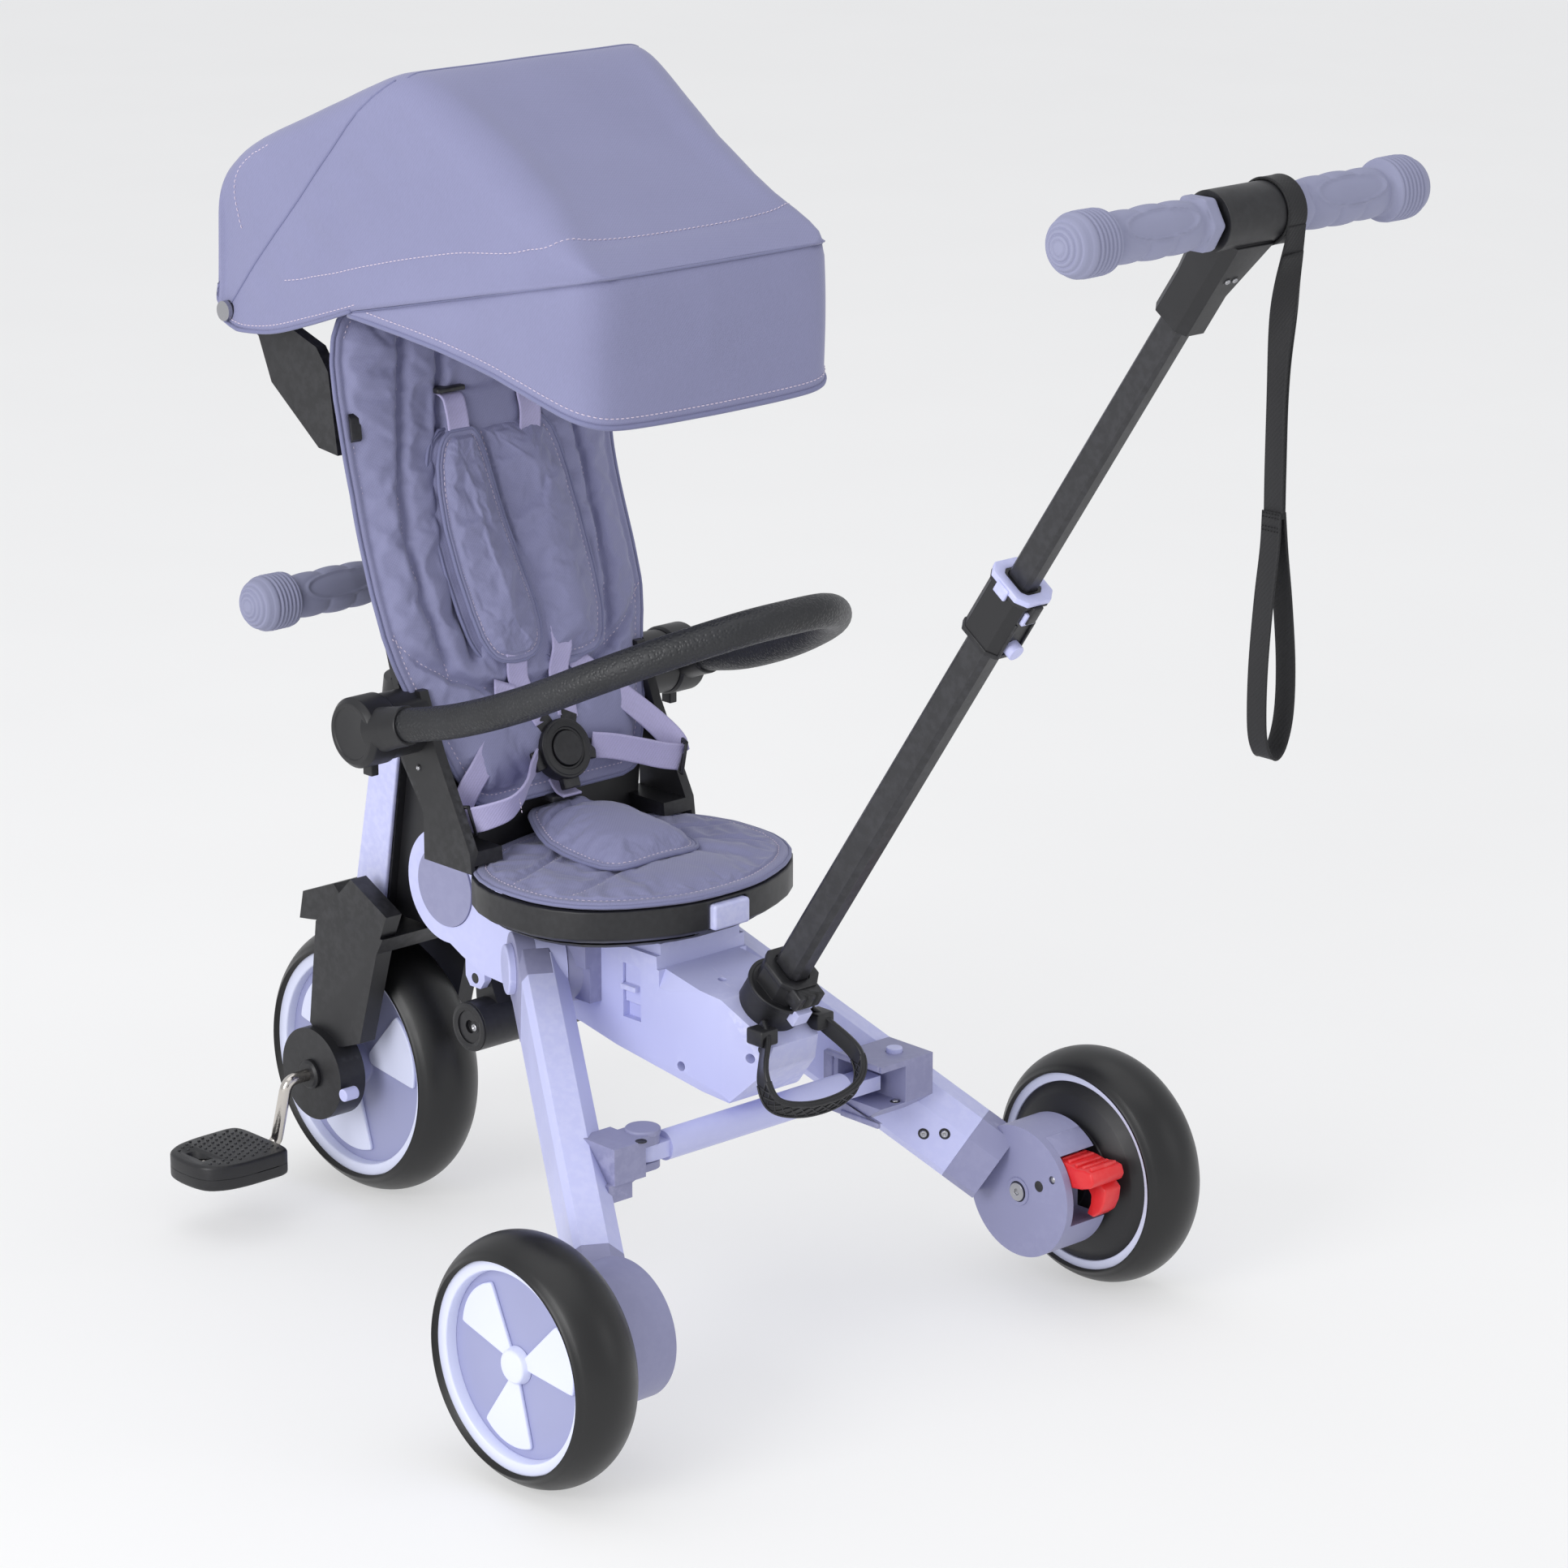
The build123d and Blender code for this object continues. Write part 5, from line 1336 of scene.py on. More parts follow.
BW = [(372, 62), (374, 72), (378, 79), (386, 83), (400, 90), (420, 98), (440, 105.5), (460, 112.5), (480, 118.5), (500, 122.5), (530, 124), (600, 123.4), (640, 125.6), (670, 127.4), (695, 127.0), (712, 123.5), (724, 117), (732, 108), (736.5, 97), (738, 84)]
S1 = [(-62, 736), (-70, 700), (-79, 650), (-86, 600), (-88, 560), (-86, 520), (-80, 484), (-74, 462)]
S2 = [(-34, 736), (-37, 690), (-44, 640), (-52, 590), (-56, 545), (-56, 505), (-52, 476)]
SQ = [(-119, 500), (-98, 478), (-74, 462), (-52, 452), (-30, 448), (0, 447), (30, 448), (52, 452), (74, 462), (98, 478), (119, 500)]
seams = [(S1, 5.0), ([(-a, b) for a, b in S1], 5.0), (S2, 4.2), ([(-a, b) for a, b in S2], 4.2), (SQ, 4.6)]
bp = Pad("back_pad_quilted", mirror_tab(BW), BW, 372, 738, 150, 92, back_map(9.0), 13.5, 8.5, seams, "seat", back=4.0, cap=5.0)
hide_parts("back_pad")
bp.piping(1.7)
bp.border_stitch(7.6)
for k, s_ in enumerate((S1, [(-a, b) for a, b in S1])):
    bp.stitch("seam%d" % k, s_, "thread")
for k, s_ in enumerate((S2, [(-a, b) for a, b in S2])):
    bp.stitch("inner_seam%d" % k, s_, "thread2")
bp.stitch("cross_seam", SQ, "thread")

# ---- shoulder pads: long rounded pads, overlapping the chest
def shoulder_map(tilt, off, lean=0.0):
    base = back_map(3.2)

    def f(a, b, h):
        p = base(a + tilt * (b - 560) / 100.0, b, h + off)
        return p
    return f


def pad_edges(keys):
    return [(b, l) for b, l, r in keys], [(b, r) for b, l, r in keys]


# left pad (rider's left is y > 0), seen in the photo as the narrower one in front
KL = [(466, 14, 24), (468, 6, 34), (472, 0, 41), (478, -4, 46), (488, -6, 51), (505, -5, 55), (535, 0, 58.5), (565, 5, 60), (595, 9, 59), (612, 12, 57), (624, 15, 53), (631, 18, 48.5), (635, 22, 42)]
KR = [(460, -44, -22), (462, -56, -14), (466, -62, -9), (474, -67, -5), (490, -70.5, -2.5), (520, -71.5, 0), (560, -70, 5), (590, -66.5, 9), (610, -62, 12), (624, -57, 14.5), (632, -51, 16), (637, -40, 17), (639, -28, 14)]
l, r_ = pad_edges(KL)
sp = Pad("shoulder_pad_left", l, r_, 466, 635, 84, 40, shoulder_map(0, 13.2), 12.0, 4.6, [], "seat", back=3.0, rim_h=2.6, cap=6.0)
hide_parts("harness_pads")
sp.piping(1.5)
sp.border_stitch(4.4)
l, r_ = pad_edges(KR)
sp2 = Pad("shoulder_pad_right", l, r_, 460, 639, 84, 46, shoulder_map(0, 7.5), 12.5, 5.4, [], "seat", back=3.0, rim_h=2.6, cap=6.0)
sp2.piping(1.5)
sp2.border_stitch(5.2)
# the left pad's under layer, folded round the strap
l, r_ = pad_edges([(b, a0 + 4, a1 + 4.5) for b, a0, a1 in KL])
under = Pad("shoulder_pad_left_under", l, r_, 468, 636, 60, 26, shoulder_map(0, 5.0), 5.0, 4.0, [], "seat", back=2.0, rim_h=2.4, cap=2.0, sim=False)
under.piping(1.4)


# ---- seat pad: flat quilted pad on the seat base
SH = [(108, 20), (109.5, 30), (112, 40), (119, 58), (128, 76), (139, 91), (152, 103), (168, 112), (186, 117.5), (205, 119), (228, 118.5), (248, 113), (264, 105), (278, 93), (289, 74), (297, 54), (303, 30), (306, 14)]
SH = [(x - (0.0 if x > 112 else 0.0), y - 1.2) for x, y in SH]
SH = [(107.2, 8)] + SH


def seat_map(a, b, h):
    # a is y, b is x
    return (b, a, 336.4 + h)


left = [(x, -y) for x, y in SH]
right = SH
E1 = [(-104, 224), (-60, 232), (-26, 244), (0, 248), (26, 244), (60, 232), (104, 224)]
E2 = [(-94, 160), (-60, 176), (-28, 200), (0, 208), (28, 200), (60, 176), (94, 160)]
E1 = [(107, 217), (84, 224), (60, 234), (26, 251), (0, 257), (-26, 251), (-60, 234), (-84, 224), (-107, 217)]
E2 = [(94, 167), (70, 172), (36, 184), (8, 194), (-28, 206), (-50, 206), (-75, 190), (-94, 167)]
sq_ = Pad("seat_pad_quilted", left, right, 107.2, 306, 96, 96, seat_map, 7.6, 9.0, [(E1, 4.0), (E2, 4.0)], "seat", back=2.0, rim_h=3.6, cap=4.0, edge_r=3.0)
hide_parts("seat_pad")
sq_.piping(1.5)
sq_.border_stitch(8.2)
sq_.stitch("seam_rear", E1, "thread")
sq_.stitch("seam_front", E2, "thread")


# ---- crotch pad: tongue lying on the seat, lifting towards the buckle
def crotch_map(a, b, h):
    # b runs along the tongue from its tip (0) to the buckle end (150)
    t = b / 150.0
    x = 174 + 128 * t
    zc = 347.5 + 3.0 * math.sin(math.pi * min(1, t * 1.2)) + 17.0 * max(0.0, t - 0.30) ** 1.6
    crown = -0.0022 * a * a * (1 - t * 0.4)
    return (x, a + 2.0 - 6.0 * t, zc + crown + h)


KC = [(0, -18, 18), (1.5, -27, 27), (5, -35, 35), (11, -41, 41), (20, -45.5, 45.5), (40, -49, 49), (65, -50, 50), (90, -48, 48), (110, -42, 42), (128, -35, 35), (142, -29, 29), (147, -25, 25), (150, -20, 20)]
l, r_ = pad_edges(KC)
cp_ = Pad("crotch_pad", l, r_, 0, 150, 72, 52, crotch_map, 12.5, 5.4, [([(-40, 116), (0, 121), (40, 116)], 4.0)], "seat", back=2.2, rim_h=2.8, cap=6.0)
cp_.piping(1.6)
cp_.border_stitch(5.2)
cp_.stitch("bar_seam", [(-38, 116), (0, 121), (38, 116)], "thread")


# ------------------------------------------------------------------ small parts
def box(name, x0, x1, y0, y1, z0, z1, mat, r=0.8, seg=2, body=None, rot=None, at=None):
    """A box in mm with rounded edges; rot is three axis vectors with origin at."""
    c = [(x, y, z) for x in (x0, x1) for y in (y0, y1) for z in (z0, z1)]
    if rot:
        c = [tuple(Vector(at) + Vector(rot[0]) * p[0] + Vector(rot[1]) * p[1] + Vector(rot[2]) * p[2]) for p in c]
    f = [[0, 1, 3, 2], [4, 6, 7, 5], [0, 4, 5, 1], [2, 3, 7, 6], [0, 2, 6, 4], [1, 5, 7, 3]]
    o = fix_normals(make(name, [P(*p) for p in c], f, mat))
    if r:
        bevel(o, r, seg, 30)
        apply_mods(o)
    if body:
        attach(o, body)
    return o


def prism(name, pts, d0, d1, frame3, mat, r=0.8, seg=2):
    """A flat outline (u, v) given thickness from d0 to d1 in the frame (origin, u, v, w)."""
    o_, u, v, w = [Vector(k) for k in frame3]
    vs = [P(*(o_ + u * a + v * b + w * d)) for d in (d0, d1) for a, b in pts]
    n = len(pts)
    f = [list(range(n))[::-1], list(range(n, 2 * n))] + [[i, (i + 1) % n, n + (i + 1) % n, n + i] for i in range(n)]
    o = fix_normals(make(name, vs, f, mat))
    if r:
        bevel(o, r, seg, 25)
        apply_mods(o)
    return o


def drum(name, c, ax, r, h, mat, rr=1.0, seg=48, h0=0.0):
    ax = Vector(ax).normalized()
    e1 = ax.orthogonal().normalized()
    e2 = ax.cross(e1)
    p = round_prof([(0, h0), (r, h0), (r, h), (0, h)], [0, min(rr, 0.4), rr, 0])
    return revolve(name, p, c, axis=(ax, e1, e2), seg=seg, mat=mat)


def cut(o, c):
    """Take the cutter c out of o."""
    m = o.modifiers.new("cut", "BOOLEAN")
    m.operation = "DIFFERENCE"
    m.object = c
    m.solver = "EXACT"
    apply_mods(o)
    bpy.data.objects.remove(c)
    return o


def screw(name, c, ax, r=2.9, body=None, mat="steel", sock=True):
    """Pan-head screw with a socket, sitting 1 mm proud."""
    ax = Vector(ax).normalized()
    e1 = ax.orthogonal().normalized()
    e2 = ax.cross(e1)
    p = [(0, 0.5), (r * 0.34, 0.5), (r * 0.42, 1.5), (r * 0.75, 1.35), (r, 0.8), (r, -0.6), (0, -0.6)] if sock else [(0, 1.5), (r * 0.7, 1.4), (r, 0.8), (r, -0.6), (0, -0.6)]
    return revolve(name, p, c, axis=(ax, e1, e2), seg=28, mat=mat)


def well(name, c, ax, r=4.6, mat="black"):
    """A countersunk recess: a low ring round a sunk disc, coloured dark as painted shade for the recess's depth."""
    ax = Vector(ax).normalized()
    e1 = ax.orthogonal().normalized()
    e2 = ax.cross(e1)
    return revolve(name, [(0, 0.05), (r * 0.72, 0.05), (r * 0.86, 0.35), (r, 0.15), (r, -0.4), (0, -0.4)], c, axis=(ax, e1, e2), seg=32, mat=mat)


# joint caps: grey on the fold joint, pale on the leg hinges
co = bpy.data.objects["joint_caps_moulded"]
co.data.materials.append(M["lilac"])
for p_ in co.data.polygons:
    cx_ = sum(co.data.vertices[i].co.x for i in p_.vertices) / len(p_.vertices)
    if (cx_ - SHX) * 1000 < 300:
        p_.material_index = 1

# ---- bumper bar: foam tube, collars and drums
HX, HZ = 331.0, 438.0
half_b = [(322, 147, 440), (308, 146.5, 443.5), (296, 145, 448), (240, 136, 462), (181, 127, 484), (128, 112, 509), (84, 82, 531), (52, 40, 547), (46, 0, 550)]
path_b = half_b + [(x, -y, z) for x, y, z in half_b[::-1][1:]]
foam = tube("foam", catmull(path_b, 9), 12.4, "foam", seg=28)
bb = [foam]
for s in (1, -1):
    d_ = revolve("cup", round_prof([(0, 134.0), (24.4, 134.0), (26.0, 136.5), (26.0, 157.5), (22.5, 161.2), (19.6, 161.2), (18.8, 160.4), (0, 160.4)], [0, 0.6, 1, 2.2, 1.2, 0.3, 0.3, 0]), (HX, 0, HZ), seg=96, mat="black", sign=s)
    a_, b_ = sorted((s * 136.5, s * 150.5))
    cut(d_, box("c", HX - 7.5, HX + 7.5, a_, b_, HZ - 40, HZ - 9.6, "black", 0))
    bb.append(d_)
    bb.append(revolve("pin", [(0, 120.6), (8, 120.6), (8, 134.3), (0, 134.3)], (HX, 0, HZ), seg=40, mat="black", sign=s))
    c0, c1 = Vector((318, s * 147, 441)), Vector((286.5, s * 143.5, 450.2))
    ax_ = (c1 - c0).normalized()
    e1_ = ax_.orthogonal().normalized()
    L_ = (c1 - c0).length
    bb.append(revolve("collar", round_prof([(10, 0), (17.0, 0), (15.2, L_ * 0.5), (14.4, L_ - 1), (14.0, L_), (11.5, L_), (11.5, L_ - 4), (10, L_ - 4)], 0.5), tuple(c0), axis=(ax_, e1_, ax_.cross(e1_)), seg=56, mat="black"))
for o_ in list(bpy.data.objects):
    if o_.name == "bumper_bar_moulded":
        bpy.data.objects.remove(o_)
bo = join("bumper_bar_foam_and_cups", bb, "bumper")
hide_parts("bumper_bar")

# ---- buckle face detail: outer ring, prongs for the five straps
BK, BN = Vector((288.0, 0.0, 404.0)), Vector((-0.93, 0.0, 0.36)).normalized()
BU = Vector((0, 1, 0))
BV = BN.cross(BU)
if BV.z < 0:
    BV = -BV


def bk(a, b, h):
    return tuple(BK + BU * a + BV * b + BN * h)


parts_ = [revolve("ring", round_prof([(15.2, 6.6), (16.0, 7.9), (20.0, 7.4), (22.4, 5.0), (22.4, 4.0), (15.2, 4.0)], 0.5), tuple(BK), axis=(BN, BU, BV), seg=80, mat="black")]
for ang in (62, 118, 190, 350, 270):
    c_, s_ = math.cos(math.radians(ang)), math.sin(math.radians(ang))
    u_ = BU * c_ + BV * s_
    w_ = BN.cross(u_)
    parts_.append(box("prong", 17, 29.5, -7.5, 7.5, -3.4, 3.2, "black", 1.2, 2, rot=(u_, w_, BN), at=tuple(BK)))
join("buckle_prongs", parts_, "seat")

# ---- harness webbing
def mm(p, s):
    return (p[0], p[1] * s, p[2]) + ((p[3], p[4] * s, p[5]) if len(p) > 3 else ())


def slide_frame(name, c, u, v, a=26, b=11, t=2.4):
    """Three-bar slide: an open frame with a middle bar."""
    u, v = Vector(u).normalized(), Vector(v).normalized()
    w = u.cross(v).normalized()
    v = w.cross(u)
    o_ = [box("s", -a / 2, a / 2, -b / 2, -b / 2 + 2.2, -t / 2, t / 2, "black", 0.6, 2, rot=(u, v, w), at=c), box("s", -a / 2, a / 2, b / 2 - 2.2, b / 2, -t / 2, t / 2, "black", 0.6, 2, rot=(u, v, w), at=c),
          box("s", -a / 2, a / 2, -0.9, 0.9, -t / 2, t / 2, "black", 0.5, 2, rot=(u, v, w), at=c),
          box("s", -a / 2, -a / 2 + 2.2, -b / 2, b / 2, -t / 2, t / 2, "black", 0.6, 2, rot=(u, v, w), at=c), box("s", a / 2 - 2.2, a / 2, -b / 2, b / 2, -t / 2, t / 2, "black", 0.6, 2, rot=(u, v, w), at=c)]
    return o_


hs = []
for s in (1, -1):
    # from the back's slot over the pad and under the shoulder pad
    yc = 34
    up = [(bx(662) + 9, yc * s, 665), (bx(660) - 6.5, yc * s, 661), (bx(654) - 10.5, yc * s, 652), (bx(642) - 11.5, yc * s, 641), (bx(628) - 10, (yc - 1) * s, 626), (bx(605) - 8, (yc - 2) * s, 604)]
    hs.append(ribbon("w", up, 20, 1.6, "web", wdir=(0, 1, 0), n=6))
    dn = [(bx(486) - 9, 24 * s, 490), (bx(472) - 11, 22 * s, 474), (313, 19 * s, 455), (303, 15.5 * s, 440), (294, 11.5 * s, 426)]
    hs.append(ribbon("w", dn, 19, 1.6, "web", wdir=(0, 1, 0.1), n=6))
# left waist webbing: buckle -> loop -> slide -> up to the back
lw = [(285, 26, 402, -0.25, 0.15, 0.95), (276, 40, 396, -0.3, 0.1, 0.94), (264, 56, 388, -0.38, 0.1, 0.9), (261, 72, 380, -0.30, 0.1, 0.94), (270, 88, 374, -0.1, 0.2, 0.97), (282, 95, 370, 0.05, 0.3, 0.95)]
hs.append(ribbon("w", lw, 21, 1.6, "web", n=7))
lw2 = [(283, 95.5, 371, 0.05, 0.3, 0.95), (291, 92, 378, 0.2, 0.6, 0.77), (292, 84, 390, 0.2, 0.85, 0.45), (292, 72, 404, 0.15, 0.85, 0.45), (295, 58, 420, 0.1, 0.85, 0.5), (303, 42, 440, 0.1, 0.9, 0.4), (312, 33, 456, 0.1, 0.95, 0.2)]
hs.append(ribbon("w", lw2, 19, 1.6, "web", n=7))
hs += slide_frame("sl", (281.5, 95.5, 370), (0.02, 0.3, 0.95), (0.9, 0.4, -0.1))
rw = [(285, -26, 403, -0.2, -0.1, 0.97), (277, -40, 401, -0.25, -0.1, 0.96), (268, -58, 396, -0.25, -0.1, 0.96), (262, -76, 390, -0.2, -0.1, 0.97), (260, -92, 386, -0.15, -0.1, 0.98)]
hs.append(ribbon("w", rw, 21, 1.6, "web", n=7))
rw2 = [(260.5, -93, 387, -0.15, -0.1, 0.98), (270, -92, 398, -0.1, -0.6, 0.79), (283, -84, 412, 0, -0.8, 0.6), (297, -68, 430, 0.1, -0.85, 0.5), (309, -50, 448, 0.1, -0.9, 0.4), (318, -38, 462, 0.1, -0.95, 0.2)]
hs.append(ribbon("w", rw2, 19, 1.6, "web", n=7))
hs += slide_frame("sl", (259.5, -93, 386.5), (-0.1, -0.1, 0.98), (0.9, -0.4, 0.1))
# crotch tab through its black slot
hs.append(ribbon("w", [(293, 0, 382), (289, 0, 377), (284, 0, 373.5), (276, 0, 372)], 18, 1.6, "web", wdir=(0, 1, 0), n=5))
hs.append(box("slot", 282, 296, -14, 14, 367.2, 371.4, "black", 1.0, 2))
for s in (1, -1):
    hs.append(box("slotrim", bx(664) - 8, bx(664) + 9, s * 34 - 13, s * 34 + 13, 663.5, 667.5, "black", 1.2, 2))
ho = join("harness_webbing_and_slides", hs, "seat")
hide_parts("harness_straps")
# cross stitch tacks on the webbing
for k, (c_, w_) in enumerate((((262, 80, 378), (0, 0, 1)),)):
    stitches("strap_tack_%d" % k, [(259.8, 62, 374), (260.2, 63, 381), (260.9, 64, 389)], "thread", "seat", [Vector((-0.85, 0.5, 0.1))] * 3, 2.2, 1.0, 0.35, 0.6)

# ---- wrist strap: one length of webbing round the cross tube, stitched into an open loop
TX, TZ = -369.0, 887.0
wr = []
wp = []
for k in range(15):
    a_ = math.radians(-96 + 200 * k / 14)
    wp.append((TX + 20.9 * math.sin(a_) * -1 if False else TX - 20.9 * math.cos(math.radians(-90 + 205 * k / 14)), -27.2, TZ + 20.9 * math.sin(math.radians(-90 + 205 * k / 14))))
ring_pts = [(TX + 20.7 * math.cos(math.radians(a)), -27.2, TZ + 20.7 * math.sin(math.radians(a))) for a in range(0, 360, 12)]
wr.append(ribbon("w", ring_pts, 17.0, 1.5, "webblack", wdir=(0, 1, 0), n=3, closed=True))
tail = [(-389.0, -27.2, 880, 0, 1, 0), (-387, -27.5, 868, 0.1, 1, 0), (-379.5, -30.5, 842, 0.5, 0.85, 0), (-372.5, -33.3, 806, 0.95, 0.3, 0), (-370.3, -34.0, 770, 1, 0, 0), (-370.2, -34.0, 720, 1, 0, 0), (-370.4, -34.2, 690, 1, 0, 0)]
wr.append(ribbon("w", tail, 16.5, 1.6, "webblack", n=8))
tail2 = [(-386.5, -27.6, 862, 0.1, 1, 0), (-378.2, -32.2, 838, 0.5, 0.85, 0), (-371.8, -35.6, 803, 0.95, 0.3, 0), (-370.3, -36.0, 768, 1, 0, 0), (-370.2, -35.9, 720, 1, 0, 0), (-370.4, -35.9, 690, 1, 0, 0)]
wr.append(ribbon("w", tail2, 16.5, 1.5, "webblack", n=8))
loop_ = [(-370.4, -36.4, 694, 1, 0, 0), (-370.8, -39.2, 668, 1, 0, 0), (-371, -44.5, 632, 1, 0, 0), (-371, -48.8, 592, 1, 0, 0), (-371, -48.4, 560, 1, 0, 0), (-371, -43.0, 540, 1, 0, 0), (-371, -35.5, 532.5, 1, 0, 0),
         (-371, -28.0, 537, 1, 0, 0), (-371, -23.0, 554, 1, 0, 0), (-371, -22.6, 592, 1, 0, 0), (-371, -26.2, 636, 1, 0, 0), (-370.7, -31.0, 670, 1, 0, 0), (-370.4, -32.4, 694, 1, 0, 0)]
wr.append(ribbon("w", loop_, 16.5, 1.6, "webblack", n=8))
wo = join("wrist_strap_webbing", wr, "push_handle")
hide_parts("wrist_strap")
for k, zz in enumerate((693, 690.5, 684.5, 682)):
    for tag, yy, nn in (("out", -37.0 - (693 - zz) * 0.10, -1), ("in", -31.0 + (693 - zz) * 0.04, 1)):
        stitches("strap_stitch_%s_%d" % (tag, k), [(-378, yy, zz), (-370.4, yy, zz), (-362.6, yy, zz)], "threadb", "push_handle", [Vector((0, nn, 0))] * 3, 1.6, 0.9, 0.4, 0.35)

# ---- pull strap: webbing ends into the tail, moulded rubber pad
sp_pts = [(47, 23.5, 258), (35, 30, 248), (20, 46, 231), (10, 44, 213), (4, 20, 205), (3, -12, 205), (8, -35, 212), (18, -42, 228), (34, -30, 247), (47, -23.5, 256)]
sw = (-0.55, 0, 0.83)
ps = [ribbon("w", sp_pts, 13.5, 3.0, "black", wdir=sw, n=10, lip=0.5)]
sm_ = catmull(sp_pts, 10)
# diamond pattern and rims on the pad's middle part
mid_ = [Vector(p) for p in sm_[22:70]]
wv = Vector(sw).normalized()
for side_ in (-1, 1):
    for off in (-5.6, 5.6):
        line = []
        for i, p in enumerate(mid_):
            t = (mid_[min(i + 1, len(mid_) - 1)] - mid_[max(i - 1, 0)]).normalized()
            w = (wv - t * wv.dot(t)).normalized()
            line.append(tuple(p + w * off + t.cross(w) * (side_ * 1.9)))
        ps.append(tube("rim", line, 0.9, "black", seg=8))
    for ph in (1, -1):
        for k in range(0, len(mid_) - 5, 3):
            seg_ = []
            for j in range(0, 5):
                p = mid_[k + j]
                t = (mid_[min(k + j + 1, len(mid_) - 1)] - mid_[max(k + j - 1, 0)]).normalized()
                w = (wv - t * wv.dot(t)).normalized()
                seg_.append(tuple(p + w * (ph * (-5 + 2.5 * j)) + t.cross(w) * (side_ * 1.75)))
            ps.append(tube("rib", seg_, 0.55, "black", seg=6))
po = join("pull_strap_moulded", ps, BODY_OF["pull_strap"])
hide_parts("pull_strap")
for s in (1, -1):
    join("pull_strap_end_%s" % ("left" if s > 0 else "right"), [box("e", 33, 50, s * 27 - 8, s * 27 + 8, 246, 258, "black", 1.6, 3)], "frame")

# ---- push bar: clamp's lilac rim, ridge and button surround; head screws

PBO, PBX, PBY = Vector((61.6, 0.0, 265.0)), Vector((math.cos(math.radians(34.6)), 0, math.sin(math.radians(34.6)))), Vector((0, 1, 0))
PBZ = Vector((-math.sin(math.radians(34.6)), 0.0, math.cos(math.radians(34.6))))


def pb(a, b, t):
    return tuple(PBO + PBX * a + PBY * b + PBZ * t)


def chamf(w, h, c):
    return [(-w / 2 + c, -h / 2), (w / 2 - c, -h / 2), (w / 2, -h / 2 + c), (w / 2, h / 2 - c), (w / 2 - c, h / 2), (-w / 2 + c, h / 2), (-w / 2, h / 2 - c), (-w / 2, -h / 2 + c)]


def collar(name, outer, inner, t0, t1, mat, r=0.6):
    """Chamfered ring round the push bar between t0 and t1."""
    n = len(outer)
    vs = [P(*pb(a, b, t)) for t in (t0, t1) for pts in (outer, inner) for a, b in pts]
    f = []
    for i in range(n):
        j = (i + 1) % n
        f += [[i, j, 2 * n + j, 2 * n + i], [n + i, 3 * n + i, 3 * n + j, n + j], [i, n + i, n + j, j], [2 * n + i, 2 * n + j, 3 * n + j, 3 * n + i]]
    o = fix_normals(make(name, vs, f, mat))
    bevel(o, r, 2, 25)
    apply_mods(o)
    return o


PR = (PBX, PBY, PBZ)
cl = [collar("c", chamf(40.0, 34.0, 7.0), chamf(25.0, 19.0, 3.6), 426.8, 431.4, "lilac", 0.8)]
cl.append(box("n", -21.0, -17.5, -6.5, 6.5, 409.5, 420, "lilac", 0.9, 2, rot=PR, at=pb(0, 0, 0)))
cl.append(box("n", -22.2, -17.0, -4.4, 4.4, 411.4, 426.5, "black", 0.9, 2, rot=PR, at=pb(0, 0, 0)))
cl.append(box("n", -6, 6, 15.2, 18.4, 421, 430, "lilac", 1.0, 2, rot=PR, at=pb(0, 0, 0)))
join("clamp_rim", cl, BODY_OF["pushbar_clamp"])
cl = [box("n", -19.8, -17.2, sy * 8.2 - 1.0, sy * 8.2 + 1.0, 377, 409, "black", 0.7, 2, rot=PR, at=pb(0, 0, 0)) for sy in (1, -1)]
cl.append(collar("c", chamf(37.6, 31.6, 6.3), chamf(34, 28, 5.6), 376.2, 380.0, "black", 0.6))
join("clamp_ridges", cl, BODY_OF["pushbar_clamp"])
# the socket's square latch block with two slots, and its top ring
so = box("n", -27.5, -15.0, -12.0, 12.0, 24.5, 37.6, "black", 1.2, 2, rot=PR, at=pb(0, 0, 0))
for sy in (-4.6, 4.6):
    cut(so, box("k", -32, -24.6, sy - 1.7, sy + 1.7, 27.0, 39.0, "black", 0, rot=PR, at=pb(0, 0, 0)))
sk = [so, collar("c", chamf(38, 36, 8.6), chamf(25.2, 19.2, 3.7), 34.2, 39.2, "black", 0.9),
      revolve("flange", round_prof([(22.0, 17.0), (25.2, 17.0), (25.2, 20.4), (22.0, 20.4)], 0.8), tuple(PBO), axis=(PBZ, PBX, PBY), seg=80, mat="black")]
join("socket_latch_block", sk, BODY_OF["pushbar_socket"])

# ---- rays from the photo's viewpoint find where small details sit on the moulded parts
from mathutils.bvhtree import BVHTree
TREES = {}


def hit(name, px, py):
    """Place (mm) and normal where the line through photo position (px, py) meets a part."""
    if name not in TREES:
        me = bpy.data.objects[name].data
        TREES[name] = BVHTree.FromPolygons([v.co for v in me.vertices], [list(p.vertices) for p in me.polygons])
    d = Vector(((px / 1932 - 0.5) * 36 / 119.24, (0.5 - py / 1932) * 36 / 119.24, -1))
    d = (cam.rotation_quaternion @ d).normalized()
    loc, nrm, _, _ = TREES[name].ray_cast(cam.location, d)
    if loc is None:
        return None, None
    if nrm.dot(d) > 0:
        nrm = -nrm
    return ((loc.x - SHX) * 1000, loc.y * 1000, loc.z * 1000), nrm


DET = {}


